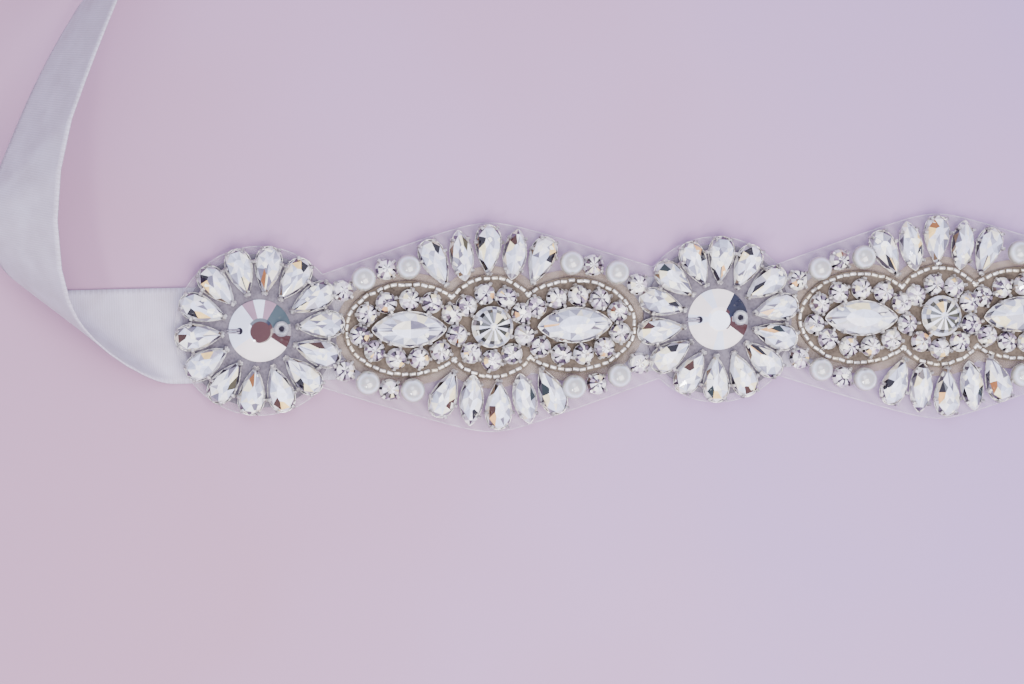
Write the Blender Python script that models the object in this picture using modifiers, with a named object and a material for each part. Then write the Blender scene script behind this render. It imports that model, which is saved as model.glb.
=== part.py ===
# Bridal sash belt: a beaded crystal applique on one length of satin ribbon,
# lying face up on a flat surface. Sizes are in millimetres, turned to metres
# where a mesh is made. +X runs along the belt, +Y across it, +Z is up.

import math

import bmesh
import bpy
from mathutils import Matrix, Vector

MM = 0.001
WELD = 0.02

# Ribbon
RIBBON_WIDTH = 25.4
CLOTH = 1.0
SEAM = 0.3
RIBBON_Y = -0.2

# Applique layout along the belt
PITCH = 61.8
DAISY_Y = 0.6
DAISIES = (-2, 0, 2)
MEDALLIONS = (-1, 1)
RIBBON_JOIN_X = 2 * PITCH + 9.5

# Heights of the layers above the surface
NET_Z = CLOTH + SEAM
GROUND_Z = NET_Z + CLOTH + SEAM
GROUND_THICK = 0.8
STONE_SINK = 0.4
ON_GROUND_Z = GROUND_Z + GROUND_THICK + SEAM

# Daisy: stones in a ring round a flat-back stone. The first turn is where its
# first petal points, the ground is a flat ring (inner and outer radius, sides)
PETALS = 14
PETAL_FIRST_TURNS = (4.0, 9.0, 6.0)
PETAL_SIZE = (13.0, 7.2, 4.4)
PETAL_RADIUS = 16.0
DAISY_GROUND_HOLE = (9.0, 20)
DAISY_GROUND_RIM = (20.6, 28)
CENTRE_DIAMETER = 16.5
CENTRE_SIDES = 24
CENTRE_LEVELS = ((0.0, 0.94), (1.2, 1.0), (3.8, 0.38))

# Medallion: two side ovals and a middle ring of small round stones
CHATON = (5.2, 3.6)
OVAL_X = 22.3
OVAL_HALF = (13.2, 7.9)
OVAL_STEPS = 360
# Rows of the ovals: side, stones, how far clockwise round the oval from its
# left end the first one stands, and the step from stone to stone
OVAL_ROWS = (
    (-1, 11, -1.4, 6.16),
    (1, 10, 6.1, 6.0),
)
RING_RADIUS = 8.9
RING_STONES = 8
RING_FIRST_TURN = -130.0
RING_STEP = 38.4
LOBE_SIDE_HALF = (16.2, 11.4)
LOBE_MIDDLE_RADIUS = 12.6
LOBE_POINTS = 60
MARQUISE_SIZE = (20.0, 9.5, 4.6)
MIDDLE_STONE_DIAMETER = 11.0
MIDDLE_STONE_HEIGHT = 4.8
MIDDLE_STONE_SIDES = 14

# Outer row of a medallion, from its middle outwards: kind of stone, place
# along the belt, place out from its middle line, lean from straight outwards
OUTER_ROW = (
    ("pear", 0.0, 20.6, 0.0),
    ("navette", 7.2, 19.3, 8.0),
    ("pear", 14.1, 17.3, 22.0),
    ("pearl", 21.9, 16.6, 0.0),
    ("chaton", 28.0, 16.0, 0.0),
    ("pearl", 34.0, 13.9, 0.0),
    ("chaton", 39.7, 10.6, 0.0),
)
# The fan of pears and navettes stands a little off the middle, above and below
FAN_SHIFT = {1: -0.5, -1: 1.2}
ROW_PEAR_SIZE = (13.6, 7.2, 4.4)
NAVETTE_SIZE = (13.6, 6.4, 4.2)
PEARL_DIAMETER = 6.2
PEARL_SEGMENTS = (9, 5)
PEARL_SINK = 0.1
ROW_GROUND_HALF = 1.6

# Net edge: a shallow pointed scallop at each medallion, a circle at each daisy
SCALLOP_PEAK = 29.0
SCALLOP_SLOPE = 0.335
SCALLOP_ROUND = 3.0
DAISY_NET_RADIUS = 23.0
NET_REACH = 2 * PITCH + DAISY_NET_RADIUS - 0.05
NET_STEP = 3.6

# Cut of a stone: height as a share of the whole, width as a share of the widest
STONE_LEVELS = ((0.0, 0.84), (0.33, 1.0), (1.0, 0.46))
STONE_SIDES = 8
CHATON_SIDES = 7
# Largest value of sin(t) sin(t / 2), which makes a teardrop of full width
PEAR_FULLEST = 0.77

# Where the left end of the ribbon lifts off the surface
LEFT_LIFT_X = -143.5
# Its turn-over and free loop, crease by crease: where each meets the upper and
# the lower selvedge, and how far the ribbon has turned by the next row
LEFT_LOOP = (
    (30.2, 0.0, 49.7),
    (37.8, 4.7, 22.7),
    (41.5, 9.5, 27.0),
    (49.4, 36.5, 29.0),
    (62.5, 50.0, 49.0),
    (72.4, 102.0, 7.0),
    (96.0, 134.0, 15.0),
    (122.0, 158.0, 43.5),
    (165.0, 184.0, 12.0),
    (225.0, 189.0, 33.5),
    (285.0, 194.0, 55.0),
    (295.0, 254.0, 0.0),
)
CREASES_PER_ROW = 4
# Rows of the table where one stretch ends and the next begins
TURN_ROWS = 5
LOOP_ROWS = 9

# Soft folds in the tails
ROLL_RADIUS = 3.5
ROLL_CREASES = 12
ROLL_TURN = 193.0
LANDING_RADIUS = 16.0
LANDING_CREASES = 4
TRIAL_RUN = 100.0
LEFT_RUN = 118.0
LEFT_LEANS = (52.0, 40.0)
LEFT_BETWEEN_FOLDS = 17.0
LEFT_END = 150.0
RIGHT_RUN = 58.0
RIGHT_LEANS = (49.0, 40.0)
RIGHT_BETWEEN_FOLDS = 66.0
RIGHT_END = 270.0

COLOURS = {
    "ribbon_satin": ((0.86, 0.85, 0.88, 1.0), 0.35, 0.0),
    "net_organza": ((0.80, 0.77, 0.80, 1.0), 0.55, 0.0),
    "crystal": ((0.88, 0.88, 0.91, 1.0), 0.08, 0.35),
    "mirror_crystal": ((0.74, 0.74, 0.79, 1.0), 0.06, 0.7),
    "bead_ground": ((0.62, 0.59, 0.60, 1.0), 0.5, 0.1),
}


# Clear the scene and set up the collection

def clear_scene():
    for old in list(bpy.data.objects):
        bpy.data.objects.remove(old, do_unlink=True)


def new_collection(name):
    collection = bpy.data.collections.new(name)
    bpy.context.scene.collection.children.link(collection)
    return collection


def material(name):
    if name in bpy.data.materials:
        return bpy.data.materials[name]
    colour, roughness, metallic = COLOURS[name]
    made = bpy.data.materials.new(name)
    made.use_nodes = True
    shader = made.node_tree.nodes["Principled BSDF"]
    shader.inputs["Base Color"].default_value = colour
    shader.inputs["Roughness"].default_value = roughness
    shader.inputs["Metallic"].default_value = metallic
    return made


def add_object(name, mesh, finish, collection):
    made = bpy.data.objects.new(name, mesh)
    mesh.materials.clear()
    mesh.materials.append(material(finish))
    collection.objects.link(made)
    return made


# Ribbon: a flat strip bent only along straight creases

class RibbonStrip:
    """Walks along a strip and keeps the two ends of every crease in space."""

    def __init__(self, start, heading):
        along = Vector(heading)
        across = Vector((0.0, 0.0, -1.0)).cross(along)
        self.origin = Vector(start)
        self.turned = Matrix((along, across, Vector((0, 0, -1)))).transposed()
        self.half = RIBBON_WIDTH / 2
        self.reach = 0.0
        self.creases = []

    def point(self, along, side):
        return self.origin + self.turned @ Vector((along, side * self.half, 0.0))

    def crease(self, upper, lower, degrees):
        first = self.point(upper, 1)
        last = self.point(lower, -1)
        self.creases.append((first, last))
        turn = Matrix.Rotation(math.radians(-degrees), 3, (last - first).normalized())
        self.origin = first + turn @ (self.origin - first)
        self.turned = turn @ self.turned
        self.reach = max(upper, lower)

    def rows(self, table):
        """Follows a table of creases, each gap between rows in equal steps."""
        for row, after in zip(table, table[1:]):
            for step in range(CREASES_PER_ROW):
                share = (step + 0.5) / CREASES_PER_ROW
                upper = row[0] + (after[0] - row[0]) * share
                lower = row[1] + (after[1] - row[1]) * share
                self.crease(upper, lower, row[2] / CREASES_PER_ROW)

    def roll(self, middle, lean, degrees, radius, count):
        """Bends round a cylinder whose axis leans from the strip's length."""
        slant = self.half / math.tan(math.radians(lean))
        arc = radius * math.radians(abs(degrees)) / abs(math.sin(math.radians(lean)))
        for step in range(count):
            place = middle + arc * (step + 0.5) / count
            self.crease(place + slant, place - slant, degrees / count)

    def turn_over(self, middle, lean):
        """Lifts the strip and rolls it over itself, then lays it down."""
        lift = ROLL_TURN if self.turned.col[2].z < 0 else -ROLL_TURN
        self.roll(middle, lean, lift, ROLL_RADIUS, ROLL_CREASES)
        self.lay_down()

    def lay_down(self):
        """Bends the strip flat onto the surface, where it meets it."""
        face = self.turned.col[2]
        up = 1.0 if face.z > 0 else -1.0
        level = face.cross(Vector((0.0, 0.0, 1.0))).normalized()
        in_strip = self.turned.transposed() @ level
        lean = math.degrees(math.atan2(in_strip.y, in_strip.x)) % 180.0
        tilt = math.degrees(math.acos(min(1.0, up * face.z)))
        kept = (self.origin.copy(), self.turned.copy(), len(self.creases), self.reach)
        best = None
        for degrees in (tilt, -tilt):
            heights = []
            for place in (0.0, TRIAL_RUN):
                self.roll(place, lean, degrees, LANDING_RADIUS, LANDING_CREASES)
                heights.append(self.point(place, 0).z)
                flat = up * self.turned.col[2].z
                self.origin, self.turned = kept[0].copy(), kept[1].copy()
                del self.creases[kept[2]:]
            if best is None or flat > best[0]:
                place = TRIAL_RUN * (CLOTH / 2 - heights[0]) / (heights[1] - heights[0])
                best = (flat, degrees, place)
        self.reach = kept[3]
        self.roll(best[2], lean, best[1], LANDING_RADIUS, LANDING_CREASES)

    def finish(self, along):
        self.creases.append((self.point(along, 1), self.point(along, -1)))


def between(first, last, share):
    return tuple(a.lerp(b, share) for a, b in zip(first, last))


def ribbon_stretch(name, creases, collection):
    """One stretch of ribbon: an open surface through its creases, thickened."""
    mesh = bpy.data.meshes.new(name)
    points = [point * MM for crease in creases for point in crease]
    faces = []
    for row in range(len(creases) - 1):
        low = 2 * row
        faces.append((low, low + 1, low + 3, low + 2))
    mesh.from_pydata(points, [], faces)
    made = add_object(name, mesh, "ribbon_satin", collection)
    wall = made.modifiers.new("wall", "SOLIDIFY")
    wall.thickness = CLOTH * MM
    wall.offset = 0.0
    wall.use_even_offset = True
    return made


def cut_stretches(names, cuts, creases, collection):
    """Cuts a strip into stretches in the middle of the given flat facets."""
    start = 0
    opening = None
    for name, cut in zip(names, list(cuts) + [None]):
        stop = len(creases) if cut is None else cut + 1
        stretch = list(creases[start:stop])
        if opening is not None:
            stretch.insert(0, opening)
        if cut is not None:
            here, after = creases[cut], creases[cut + 1]
            length = min((a - b).length for a, b in zip(here, after))
            nudge = SEAM / 2 / length
            stretch.append(between(here, after, 0.5 - nudge))
            opening = between(here, after, 0.5 + nudge)
            start = stop
        ribbon_stretch(name, stretch, collection)


def build_left_tail(collection):
    strip = RibbonStrip((LEFT_LIFT_X, RIBBON_Y, CLOTH / 2), (-1.0, 0.0, 0.0))
    strip.finish(LEFT_LIFT_X + RIBBON_JOIN_X)
    strip.rows(LEFT_LOOP)
    strip.lay_down()
    landed = len(strip.creases)
    strip.turn_over(strip.reach + LEFT_RUN, LEFT_LEANS[0])
    first_fold = len(strip.creases)
    strip.turn_over(strip.reach + LEFT_BETWEEN_FOLDS, 180.0 - LEFT_LEANS[1])
    second_fold = len(strip.creases)
    strip.finish(strip.reach + LEFT_END)
    names = ("ribbon_left_turn", "ribbon_left_loop", "ribbon_left_fall",
             "ribbon_left_fold_1", "ribbon_left_fold_2", "ribbon_left_end")
    cuts = (TURN_ROWS * CREASES_PER_ROW, LOOP_ROWS * CREASES_PER_ROW,
            landed - 1, first_fold - 1, second_fold - 1)
    cut_stretches(names, cuts, strip.creases, collection)


def build_right_tail(collection):
    strip = RibbonStrip((RIBBON_JOIN_X, RIBBON_Y, CLOTH / 2), (1.0, 0.0, 0.0))
    strip.finish(0.0)
    strip.turn_over(RIGHT_RUN, RIGHT_LEANS[0])
    first_fold = len(strip.creases)
    strip.turn_over(strip.reach + RIGHT_BETWEEN_FOLDS, 180.0 - RIGHT_LEANS[1])
    second_fold = len(strip.creases)
    strip.finish(strip.reach + RIGHT_END)
    names = ("ribbon_right_fold_1", "ribbon_right_fold_2", "ribbon_right_end")
    cut_stretches(names, (first_fold - 1, second_fold - 1), strip.creases, collection)


def build_ribbon_middle(collection):
    half = RIBBON_JOIN_X - SEAM
    ends = []
    for x in (-half, half):
        ends.append(tuple(Vector((x, RIBBON_Y + side * RIBBON_WIDTH / 2, CLOTH / 2)) for side in (1, -1)))
    ribbon_stretch("ribbon_middle", ends, collection)


# Flat plates: the net and the sewn ground that carries the small stones

def plate(name, outlines, low, thick, finish, collection):
    """A closed plate from one outer outline and any holes inside it."""
    curve = bpy.data.curves.new(name, "CURVE")
    curve.dimensions = "2D"
    curve.fill_mode = "BOTH"
    curve.extrude = thick * MM / 2
    for outline in outlines:
        spline = curve.splines.new("POLY")
        spline.points.add(len(outline) - 1)
        spline.use_cyclic_u = True
        for point, (x, y) in zip(spline.points, outline):
            point.co = (x * MM, y * MM, 0.0, 1.0)
    drawn = bpy.data.objects.new(name + "_outline", curve)
    bpy.context.scene.collection.objects.link(drawn)
    evaluated = drawn.evaluated_get(bpy.context.evaluated_depsgraph_get())
    mesh = bpy.data.meshes.new_from_object(evaluated)
    mesh.transform(Matrix.Translation((0.0, 0.0, (low + thick / 2) * MM)))
    bpy.data.objects.remove(drawn, do_unlink=True)
    shape = bmesh.new()
    shape.from_mesh(mesh)
    bmesh.ops.remove_doubles(shape, verts=shape.verts, dist=WELD * MM)
    bmesh.ops.recalc_face_normals(shape, faces=shape.faces)
    shape.to_mesh(mesh)
    shape.free()
    return add_object(name, mesh, finish, collection)


def circle(centre, radius, count):
    points = []
    for step in range(count):
        turn = 2 * math.pi * step / count
        points.append((centre[0] + radius * math.cos(turn), centre[1] + radius * math.sin(turn)))
    return points


def net_half_width(x, side):
    """Half width of the net at x, above (side 1) or below (side -1)."""
    width = 0.0
    for place in MEDALLIONS:
        off = x - place * PITCH
        if abs(off) < PITCH:
            width = max(width, SCALLOP_PEAK - SCALLOP_SLOPE * math.hypot(off, SCALLOP_ROUND))
    for place in DAISIES:
        off = x - place * PITCH
        if abs(off) < DAISY_NET_RADIUS:
            bow = math.sqrt(DAISY_NET_RADIUS ** 2 - off ** 2)
            width = max(width if abs(place) < 2 or off * place < 0 else 0.0, bow + side * DAISY_Y)
    return width


def build_net(collection):
    count = int(2 * NET_REACH / NET_STEP)
    columns = [-NET_REACH + 2 * NET_REACH * step / count for step in range(count + 1)]
    upper = [(x, net_half_width(x, 1)) for x in columns]
    lower = [(x, -net_half_width(x, -1)) for x in reversed(columns)]
    plate("net_backing", [upper + lower], NET_Z, CLOTH, "net_organza", collection)


# Stones

def pear_outline(length, width):
    """Teardrop with its tip towards +X and its round end towards -X."""
    points = []
    for step in range(STONE_SIDES):
        turn = 2 * math.pi * step / STONE_SIDES
        bow = math.sin(turn) * math.sin(turn / 2) / PEAR_FULLEST
        points.append((length / 2 * math.cos(turn), width / 2 * bow))
    return points


def navette_outline(length, width):
    """Boat shape, pointed at both ends of X."""
    points = []
    for step in range(STONE_SIDES):
        turn = 2 * math.pi * step / STONE_SIDES
        bow = math.sin(turn) * math.sqrt(abs(math.sin(turn)))
        points.append((length / 2 * math.cos(turn), width / 2 * bow))
    return points


def cut_stone(outline, height, levels=STONE_LEVELS):
    """A setting and its faceted stone: the outline drawn up level by level."""
    shape = bmesh.new()
    rim = [shape.verts.new((x * levels[0][1], y * levels[0][1], 0.0)) for x, y in outline]
    face = shape.faces.new(rim)
    shape.normal_update()
    if face.normal.z < 0:
        face.normal_flip()
    before = levels[0]
    for level in levels[1:]:
        grown = bmesh.ops.extrude_face_region(shape, geom=[face], use_keep_orig=before is levels[0])
        if face.is_valid and before is not levels[0]:
            bmesh.ops.delete(shape, geom=[face], context="FACES_ONLY")
        face = next(part for part in grown["geom"] if isinstance(part, bmesh.types.BMFace))
        size = level[1] / before[1]
        for vert in face.verts:
            vert.co.x *= size
            vert.co.y *= size
            vert.co.z = level[0] * height
        before = level
    bmesh.ops.recalc_face_normals(shape, faces=shape.faces)
    return shape


def pearl_ball(diameter):
    shape = bmesh.new()
    around, up = PEARL_SEGMENTS
    bmesh.ops.create_uvsphere(shape, u_segments=around, v_segments=up, radius=diameter / 2)
    bmesh.ops.translate(shape, verts=shape.verts, vec=(0.0, 0.0, diameter / 2))
    return shape


def stone_of_kind(kind):
    if kind == "pear":
        return cut_stone(pear_outline(*ROW_PEAR_SIZE[:2]), ROW_PEAR_SIZE[2])
    if kind == "navette":
        return cut_stone(navette_outline(*NAVETTE_SIZE[:2]), NAVETTE_SIZE[2])
    if kind == "petal":
        return cut_stone(pear_outline(*PETAL_SIZE[:2]), PETAL_SIZE[2])
    if kind == "pearl":
        return pearl_ball(PEARL_DIAMETER)
    return cut_stone(circle((0, 0), CHATON[0] / 2, CHATON_SIDES), CHATON[1])


def gather_stones(name, places):
    """One mesh of many stones; places hold kind, x, y, low z and turn."""
    everything = bmesh.new()
    for kind, x, y, z, turn in places:
        stone = stone_of_kind(kind)
        move = Matrix.Translation((x, y, z)) @ Matrix.Rotation(math.radians(turn), 4, "Z")
        stone.transform(Matrix.Scale(MM, 4) @ move)
        single = bpy.data.meshes.new("stone")
        stone.to_mesh(single)
        stone.free()
        everything.from_mesh(single)
        bpy.data.meshes.remove(single)
    mesh = bpy.data.meshes.new(name)
    everything.to_mesh(mesh)
    everything.free()
    return mesh


def fuse_stones(ground, places, finish, cutters):
    """Joins stones to the plate that they are sewn to, as one body."""
    mesh = gather_stones(ground.name + "_stones", places)
    stones = add_object(ground.name + "_stones", mesh, finish, cutters)
    stones.hide_render = True
    stones.display_type = "WIRE"
    joined = ground.modifiers.new("stones", "BOOLEAN")
    joined.operation = "UNION"
    joined.solver = "EXACT"
    joined.use_self = True
    joined.object = stones


def single_stone(name, outline, height, levels, centre, low, finish, collection):
    shape = cut_stone(outline, height, levels)
    shape.transform(Matrix.Scale(MM, 4) @ Matrix.Translation((centre[0], centre[1], low)))
    mesh = bpy.data.meshes.new(name)
    shape.to_mesh(mesh)
    shape.free()
    return add_object(name, mesh, finish, collection)


def build_daisy(number, place, collection, cutters):
    centre = (place * PITCH, DAISY_Y)
    rings = [circle(centre, *DAISY_GROUND_RIM), circle(centre, *DAISY_GROUND_HOLE)[::-1]]
    name = "daisy_%d_petals" % number
    ground = plate(name, rings, GROUND_Z, GROUND_THICK, "crystal", collection)
    places = []
    for petal in range(PETALS):
        turn = PETAL_FIRST_TURNS[number - 1] + 360.0 * petal / PETALS
        x = centre[0] + PETAL_RADIUS * math.cos(math.radians(turn))
        y = centre[1] + PETAL_RADIUS * math.sin(math.radians(turn))
        places.append(("petal", x, y, GROUND_Z + STONE_SINK, turn + 180.0))
    fuse_stones(ground, places, "crystal", cutters)
    round_outline = circle((0, 0), CENTRE_DIAMETER / 2, CENTRE_SIDES)
    levels = [(rise / CENTRE_LEVELS[-1][0], wide) for rise, wide in CENTRE_LEVELS]
    single_stone("daisy_%d_centre" % number, round_outline, CENTRE_LEVELS[-1][0], levels,
                 centre, GROUND_Z, "mirror_crystal", collection)


def oval_stones(centre_x, stones, first, spacing):
    """Small stones at even steps clockwise round one side oval."""
    lengths = [0.0]
    points = []
    for step in range(OVAL_STEPS + 1):
        turn = math.pi - 2 * math.pi * step / OVAL_STEPS
        points.append((centre_x + OVAL_HALF[0] * math.cos(turn), OVAL_HALF[1] * math.sin(turn)))
        if step:
            lengths.append(lengths[-1] + math.dist(points[-1], points[-2]))
    found = []
    for stone in range(stones):
        goal = (first + spacing * stone) % lengths[-1]
        step = next(i for i, length in enumerate(lengths) if length >= goal)
        found.append(points[step])
    return found


def lobed_outline(x):
    """Outline of the sewn ground: two side ovals and a middle circle as one."""
    points = []
    for step in range(LOBE_POINTS):
        turn = 2 * math.pi * step / LOBE_POINTS
        out = (math.cos(turn), math.sin(turn))
        far = LOBE_MIDDLE_RADIUS
        for side in (-OVAL_X, OVAL_X):
            a = (out[0] / LOBE_SIDE_HALF[0]) ** 2 + (out[1] / LOBE_SIDE_HALF[1]) ** 2
            b = -2 * out[0] * side / LOBE_SIDE_HALF[0] ** 2
            c = (side / LOBE_SIDE_HALF[0]) ** 2 - 1
            inside = b * b - 4 * a * c
            if inside > 0:
                far = max(far, (-b + math.sqrt(inside)) / (2 * a))
        points.append((x + far * out[0], far * out[1]))
    return points


def build_medallion(number, place, collection, cutters):
    x = place * PITCH
    stem = "medallion_%d_" % number
    ground = plate(stem + "rings", [lobed_outline(x)], GROUND_Z, GROUND_THICK, "bead_ground", collection)
    spots = []
    for side, stones, first, spacing in OVAL_ROWS:
        spots += oval_stones(x + side * OVAL_X, stones, first, spacing)
    for stone in range(RING_STONES):
        turn = math.radians(RING_FIRST_TURN + RING_STEP * stone)
        spots.append((x + RING_RADIUS * math.cos(turn), RING_RADIUS * math.sin(turn)))
    places = [("chaton", px, py, GROUND_Z + STONE_SINK, 0.0) for px, py in spots]
    fuse_stones(ground, places, "bead_ground", cutters)
    round_outline = circle((0, 0), MIDDLE_STONE_DIAMETER / 2, MIDDLE_STONE_SIDES)
    single_stone(stem + "round", round_outline, MIDDLE_STONE_HEIGHT, STONE_LEVELS,
                 (x, 0.0), ON_GROUND_Z, "mirror_crystal", collection)
    boat = navette_outline(*MARQUISE_SIZE[:2])
    for side, word in ((-1, "marquise_left"), (1, "marquise_right")):
        single_stone(stem + word, boat, MARQUISE_SIZE[2], STONE_LEVELS,
                     (x + side * OVAL_X, 0.0), ON_GROUND_Z, "crystal", collection)
    for side, word in ((1, "row_upper"), (-1, "row_lower")):
        build_outer_row(stem + word, x, side, collection, cutters)


def build_outer_row(name, x, side, collection, cutters):
    whole = [(kind, -along, out, -lean) for kind, along, out, lean in reversed(OUTER_ROW) if along]
    whole += list(OUTER_ROW)
    inner = [(x + along, side * (out - ROW_GROUND_HALF)) for kind, along, out, lean in whole]
    outer = [(x + along, side * (out + ROW_GROUND_HALF)) for kind, along, out, lean in whole]
    ground = plate(name, [inner + outer[::-1]], GROUND_Z, GROUND_THICK, "crystal", collection)
    places = []
    for kind, along, out, lean in whole:
        inwards = -side * 90.0 + side * -lean
        low = GROUND_Z + (PEARL_SINK if kind == "pearl" else STONE_SINK)
        shift = FAN_SHIFT[side] if kind in ("pear", "navette") else 0.0
        places.append((kind, x + along + shift, side * out, low, inwards))
    fuse_stones(ground, places, "crystal", cutters)


def build():
    clear_scene()
    belt = new_collection("waist_belt")
    cutters = new_collection("cutters")
    build_ribbon_middle(belt)
    build_left_tail(belt)
    build_right_tail(belt)
    build_net(belt)
    for number, place in enumerate(DAISIES, 1):
        build_daisy(number, place, belt, cutters)
    for number, place in enumerate(MEDALLIONS, 1):
        build_medallion(number, place, belt, cutters)


build()
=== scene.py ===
# %% [markdown]
# # A bridal sash belt
# The belt is one length of white satin ribbon with a beaded applique sewn on it: daisies of
# pear-shaped crystals, and oval medallions of small round stones, marquises, pearls and fine
# silver-lined beads on sheer net. It lies flat on a pale surface and is seen from almost
# straight above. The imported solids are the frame: the main pieces below take their places, and
# the fine beadwork is added on them.

# %% Load the frame
import math
import random

import bmesh
import bpy
from mathutils import Matrix, Vector


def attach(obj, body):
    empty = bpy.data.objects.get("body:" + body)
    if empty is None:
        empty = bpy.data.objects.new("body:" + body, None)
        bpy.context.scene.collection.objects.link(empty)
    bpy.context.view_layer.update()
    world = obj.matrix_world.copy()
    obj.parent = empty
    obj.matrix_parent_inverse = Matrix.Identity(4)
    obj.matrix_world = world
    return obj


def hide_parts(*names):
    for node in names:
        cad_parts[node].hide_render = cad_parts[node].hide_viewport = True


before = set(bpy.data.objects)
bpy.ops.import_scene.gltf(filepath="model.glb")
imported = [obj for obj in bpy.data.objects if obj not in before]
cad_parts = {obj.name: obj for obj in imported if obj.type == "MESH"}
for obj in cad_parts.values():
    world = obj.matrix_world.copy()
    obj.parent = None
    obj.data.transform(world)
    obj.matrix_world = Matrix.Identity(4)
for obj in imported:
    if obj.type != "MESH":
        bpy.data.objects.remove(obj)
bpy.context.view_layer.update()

MM = 0.001
BODY = "root"

# %% [markdown]
# ## Camera, surface and light
# The photograph is a close-up with a long lens, leaning a little to the right, so the near end
# of the belt is slightly larger. A flat view would lose that, so a camera at the same distance
# keeps the same perspective. A broad lamp from the lower right gives the soft shadows at the
# upper left of each stone, a cool one from behind fills them, and a small one makes the glints.

# %% Camera
LENS_MM = 100.0
AIM = Vector((-55.9, -4.1, 0.0)) * MM
DISTANCE = 765.1 * MM
LEAN_RIGHT = math.radians(-7.84)
ROLL = math.radians(-1.48)

camera_data = bpy.data.cameras.new("camera")
camera_data.lens = LENS_MM
camera_data.clip_start = 0.05
camera = bpy.data.objects.new("camera", camera_data)
turned = Matrix.Rotation(LEAN_RIGHT, 4, "Y") @ Matrix.Rotation(ROLL, 4, "Z")
camera.matrix_world = Matrix.Translation(AIM + turned.to_3x3() @ Vector((0, 0, DISTANCE))) @ turned
bpy.context.scene.collection.objects.link(camera)
bpy.context.scene.camera = camera
print("camera at", [round(value, 3) for value in camera.matrix_world.translation])


# %% Helpers for colour, nodes and materials
def colour(code):
    """An sRGB hex colour as linear numbers."""
    values = []
    for place in (0, 2, 4):
        share = int(code[place:place + 2], 16) / 255
        values.append(share / 12.92 if share <= 0.04045 else ((share + 0.055) / 1.055) ** 2.4)
    return (*values, 1.0)


def add_node(tree, kind, inputs=None, **settings):
    """Adds a node, sets it up and joins its inputs."""
    made = tree.nodes.new(kind)
    for name, value in settings.items():
        setattr(made, name, value)
    for socket, value in (inputs or {}).items():
        if isinstance(value, bpy.types.NodeSocket):
            tree.links.new(value, made.inputs[socket])
        else:
            made.inputs[socket].default_value = value
    return made


def new_material(name, **settings):
    """A material with one Principled shader; settings name its sockets."""
    made = bpy.data.materials.new(name)
    made.use_nodes = True
    shader = made.node_tree.nodes["Principled BSDF"]
    for socket, value in settings.items():
        shader.inputs[socket.replace("_", " ")].default_value = value
    return made, made.node_tree, shader


def ramp_stops(node, stops, constant=False):
    """Writes (place, colour) stops into a Color Ramp."""
    ramp = node.color_ramp
    ramp.interpolation = "CONSTANT" if constant else "LINEAR"
    while len(ramp.elements) > 1:
        ramp.elements.remove(ramp.elements[-1])
    ramp.elements[0].position = stops[0][0]
    ramp.elements[0].color = colour(stops[0][1])
    for place, code in stops[1:]:
        ramp.elements.new(place).color = colour(code)


def dyed(tree, shader, value, stops):
    """Colours a shader by a soft ramp over a value from 0 to 1."""
    tint = add_node(tree, "ShaderNodeValToRGB", {"Fac": value})
    ramp_stops(tint, stops)
    tree.links.new(tint.outputs["Color"], shader.inputs["Base Color"])


def per_metre(size):
    """Scale of a texture whose grains are this many millimetres wide."""
    return 1.0 / (size * MM)


def mottled(name, dark, light, grain, **settings):
    """A material whose colour drifts between two shades, in patches grain millimetres wide."""
    made, tree, shader = new_material(name, **settings)
    place = add_node(tree, "ShaderNodeTexCoord")
    cloud = add_node(tree, "ShaderNodeTexNoise", {
        "Vector": place.outputs["Object"], "Scale": per_metre(grain)})
    dyed(tree, shader, cloud.outputs["Fac"], [(0.35, dark), (0.65, light)])
    return made


print("white paper as linear light:", [round(value, 3) for value in colour("F4F2EE")])

# %% Surface
# Matt emulsion on board, rolled on: it scatters light evenly, so soft shadows show on it and no
# glint. The tint drifts from pink at the left to blue at the right, in very broad clouds.
BOARD_CLOUD = 111.0
BOARD_DRIFT_PER_METRE = 3.0
FLOOR_SIZE = 6.0
FLOOR_DROP = 0.2

board, tree, shader = new_material("painted_board", Roughness=0.75)
place = add_node(tree, "ShaderNodeTexCoord")
cloud = add_node(tree, "ShaderNodeTexNoise", {
    "Vector": place.outputs["Object"], "Scale": per_metre(BOARD_CLOUD)})
sides = add_node(tree, "ShaderNodeSeparateXYZ", {"Vector": place.outputs["Object"]})
drift = add_node(tree, "ShaderNodeMath", {
    0: sides.outputs["X"], 1: BOARD_DRIFT_PER_METRE, 2: cloud.outputs["Fac"]}, operation="MULTIPLY_ADD")
dyed(tree, shader, drift.outputs[0], [(0.0, "A4809C"), (0.45, "A888B0"), (0.85, "A186B8")])

bpy.ops.mesh.primitive_plane_add(size=FLOOR_SIZE, location=(0, 0, -FLOOR_DROP * MM))
floor = bpy.context.object
floor.name = "surface"
floor.data.materials.append(board)
print("surface laid", FLOOR_DROP, "mm under the belt")

# %% Lamps
LAMP_AIM = Vector((-0.035, 0.0, 0.0))
LAMPS = (
    ("window", (0.05, -0.2, 0.5), 0.42, 5.9, "FFF8F5"),
    ("fill", (-0.2, 0.34, 0.8), 0.5, 4.4, "E6ECFF"),
    ("glint", (-0.3, -0.32, 0.5), 0.06, 1.5, "FFFFFF"),
)
ROOM_TINT = "E6E4F8"
ROOM_STRENGTH = 1.2


def lamp(name, place, size, watts, tint_code):
    """A square lamp that looks at the middle of what the photograph shows."""
    data = bpy.data.lights.new(name, "AREA")
    data.size = size
    data.energy = watts
    data.color = colour(tint_code)[:3]
    made = bpy.data.objects.new(name, data)
    made.location = place
    made.rotation_euler = (LAMP_AIM - Vector(place)).to_track_quat("-Z", "Y").to_euler()
    bpy.context.scene.collection.objects.link(made)
    print("%s lamp: %.2f m wide, %.1f W" % (name, size, watts))


for row in LAMPS:
    lamp(*row)

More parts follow.
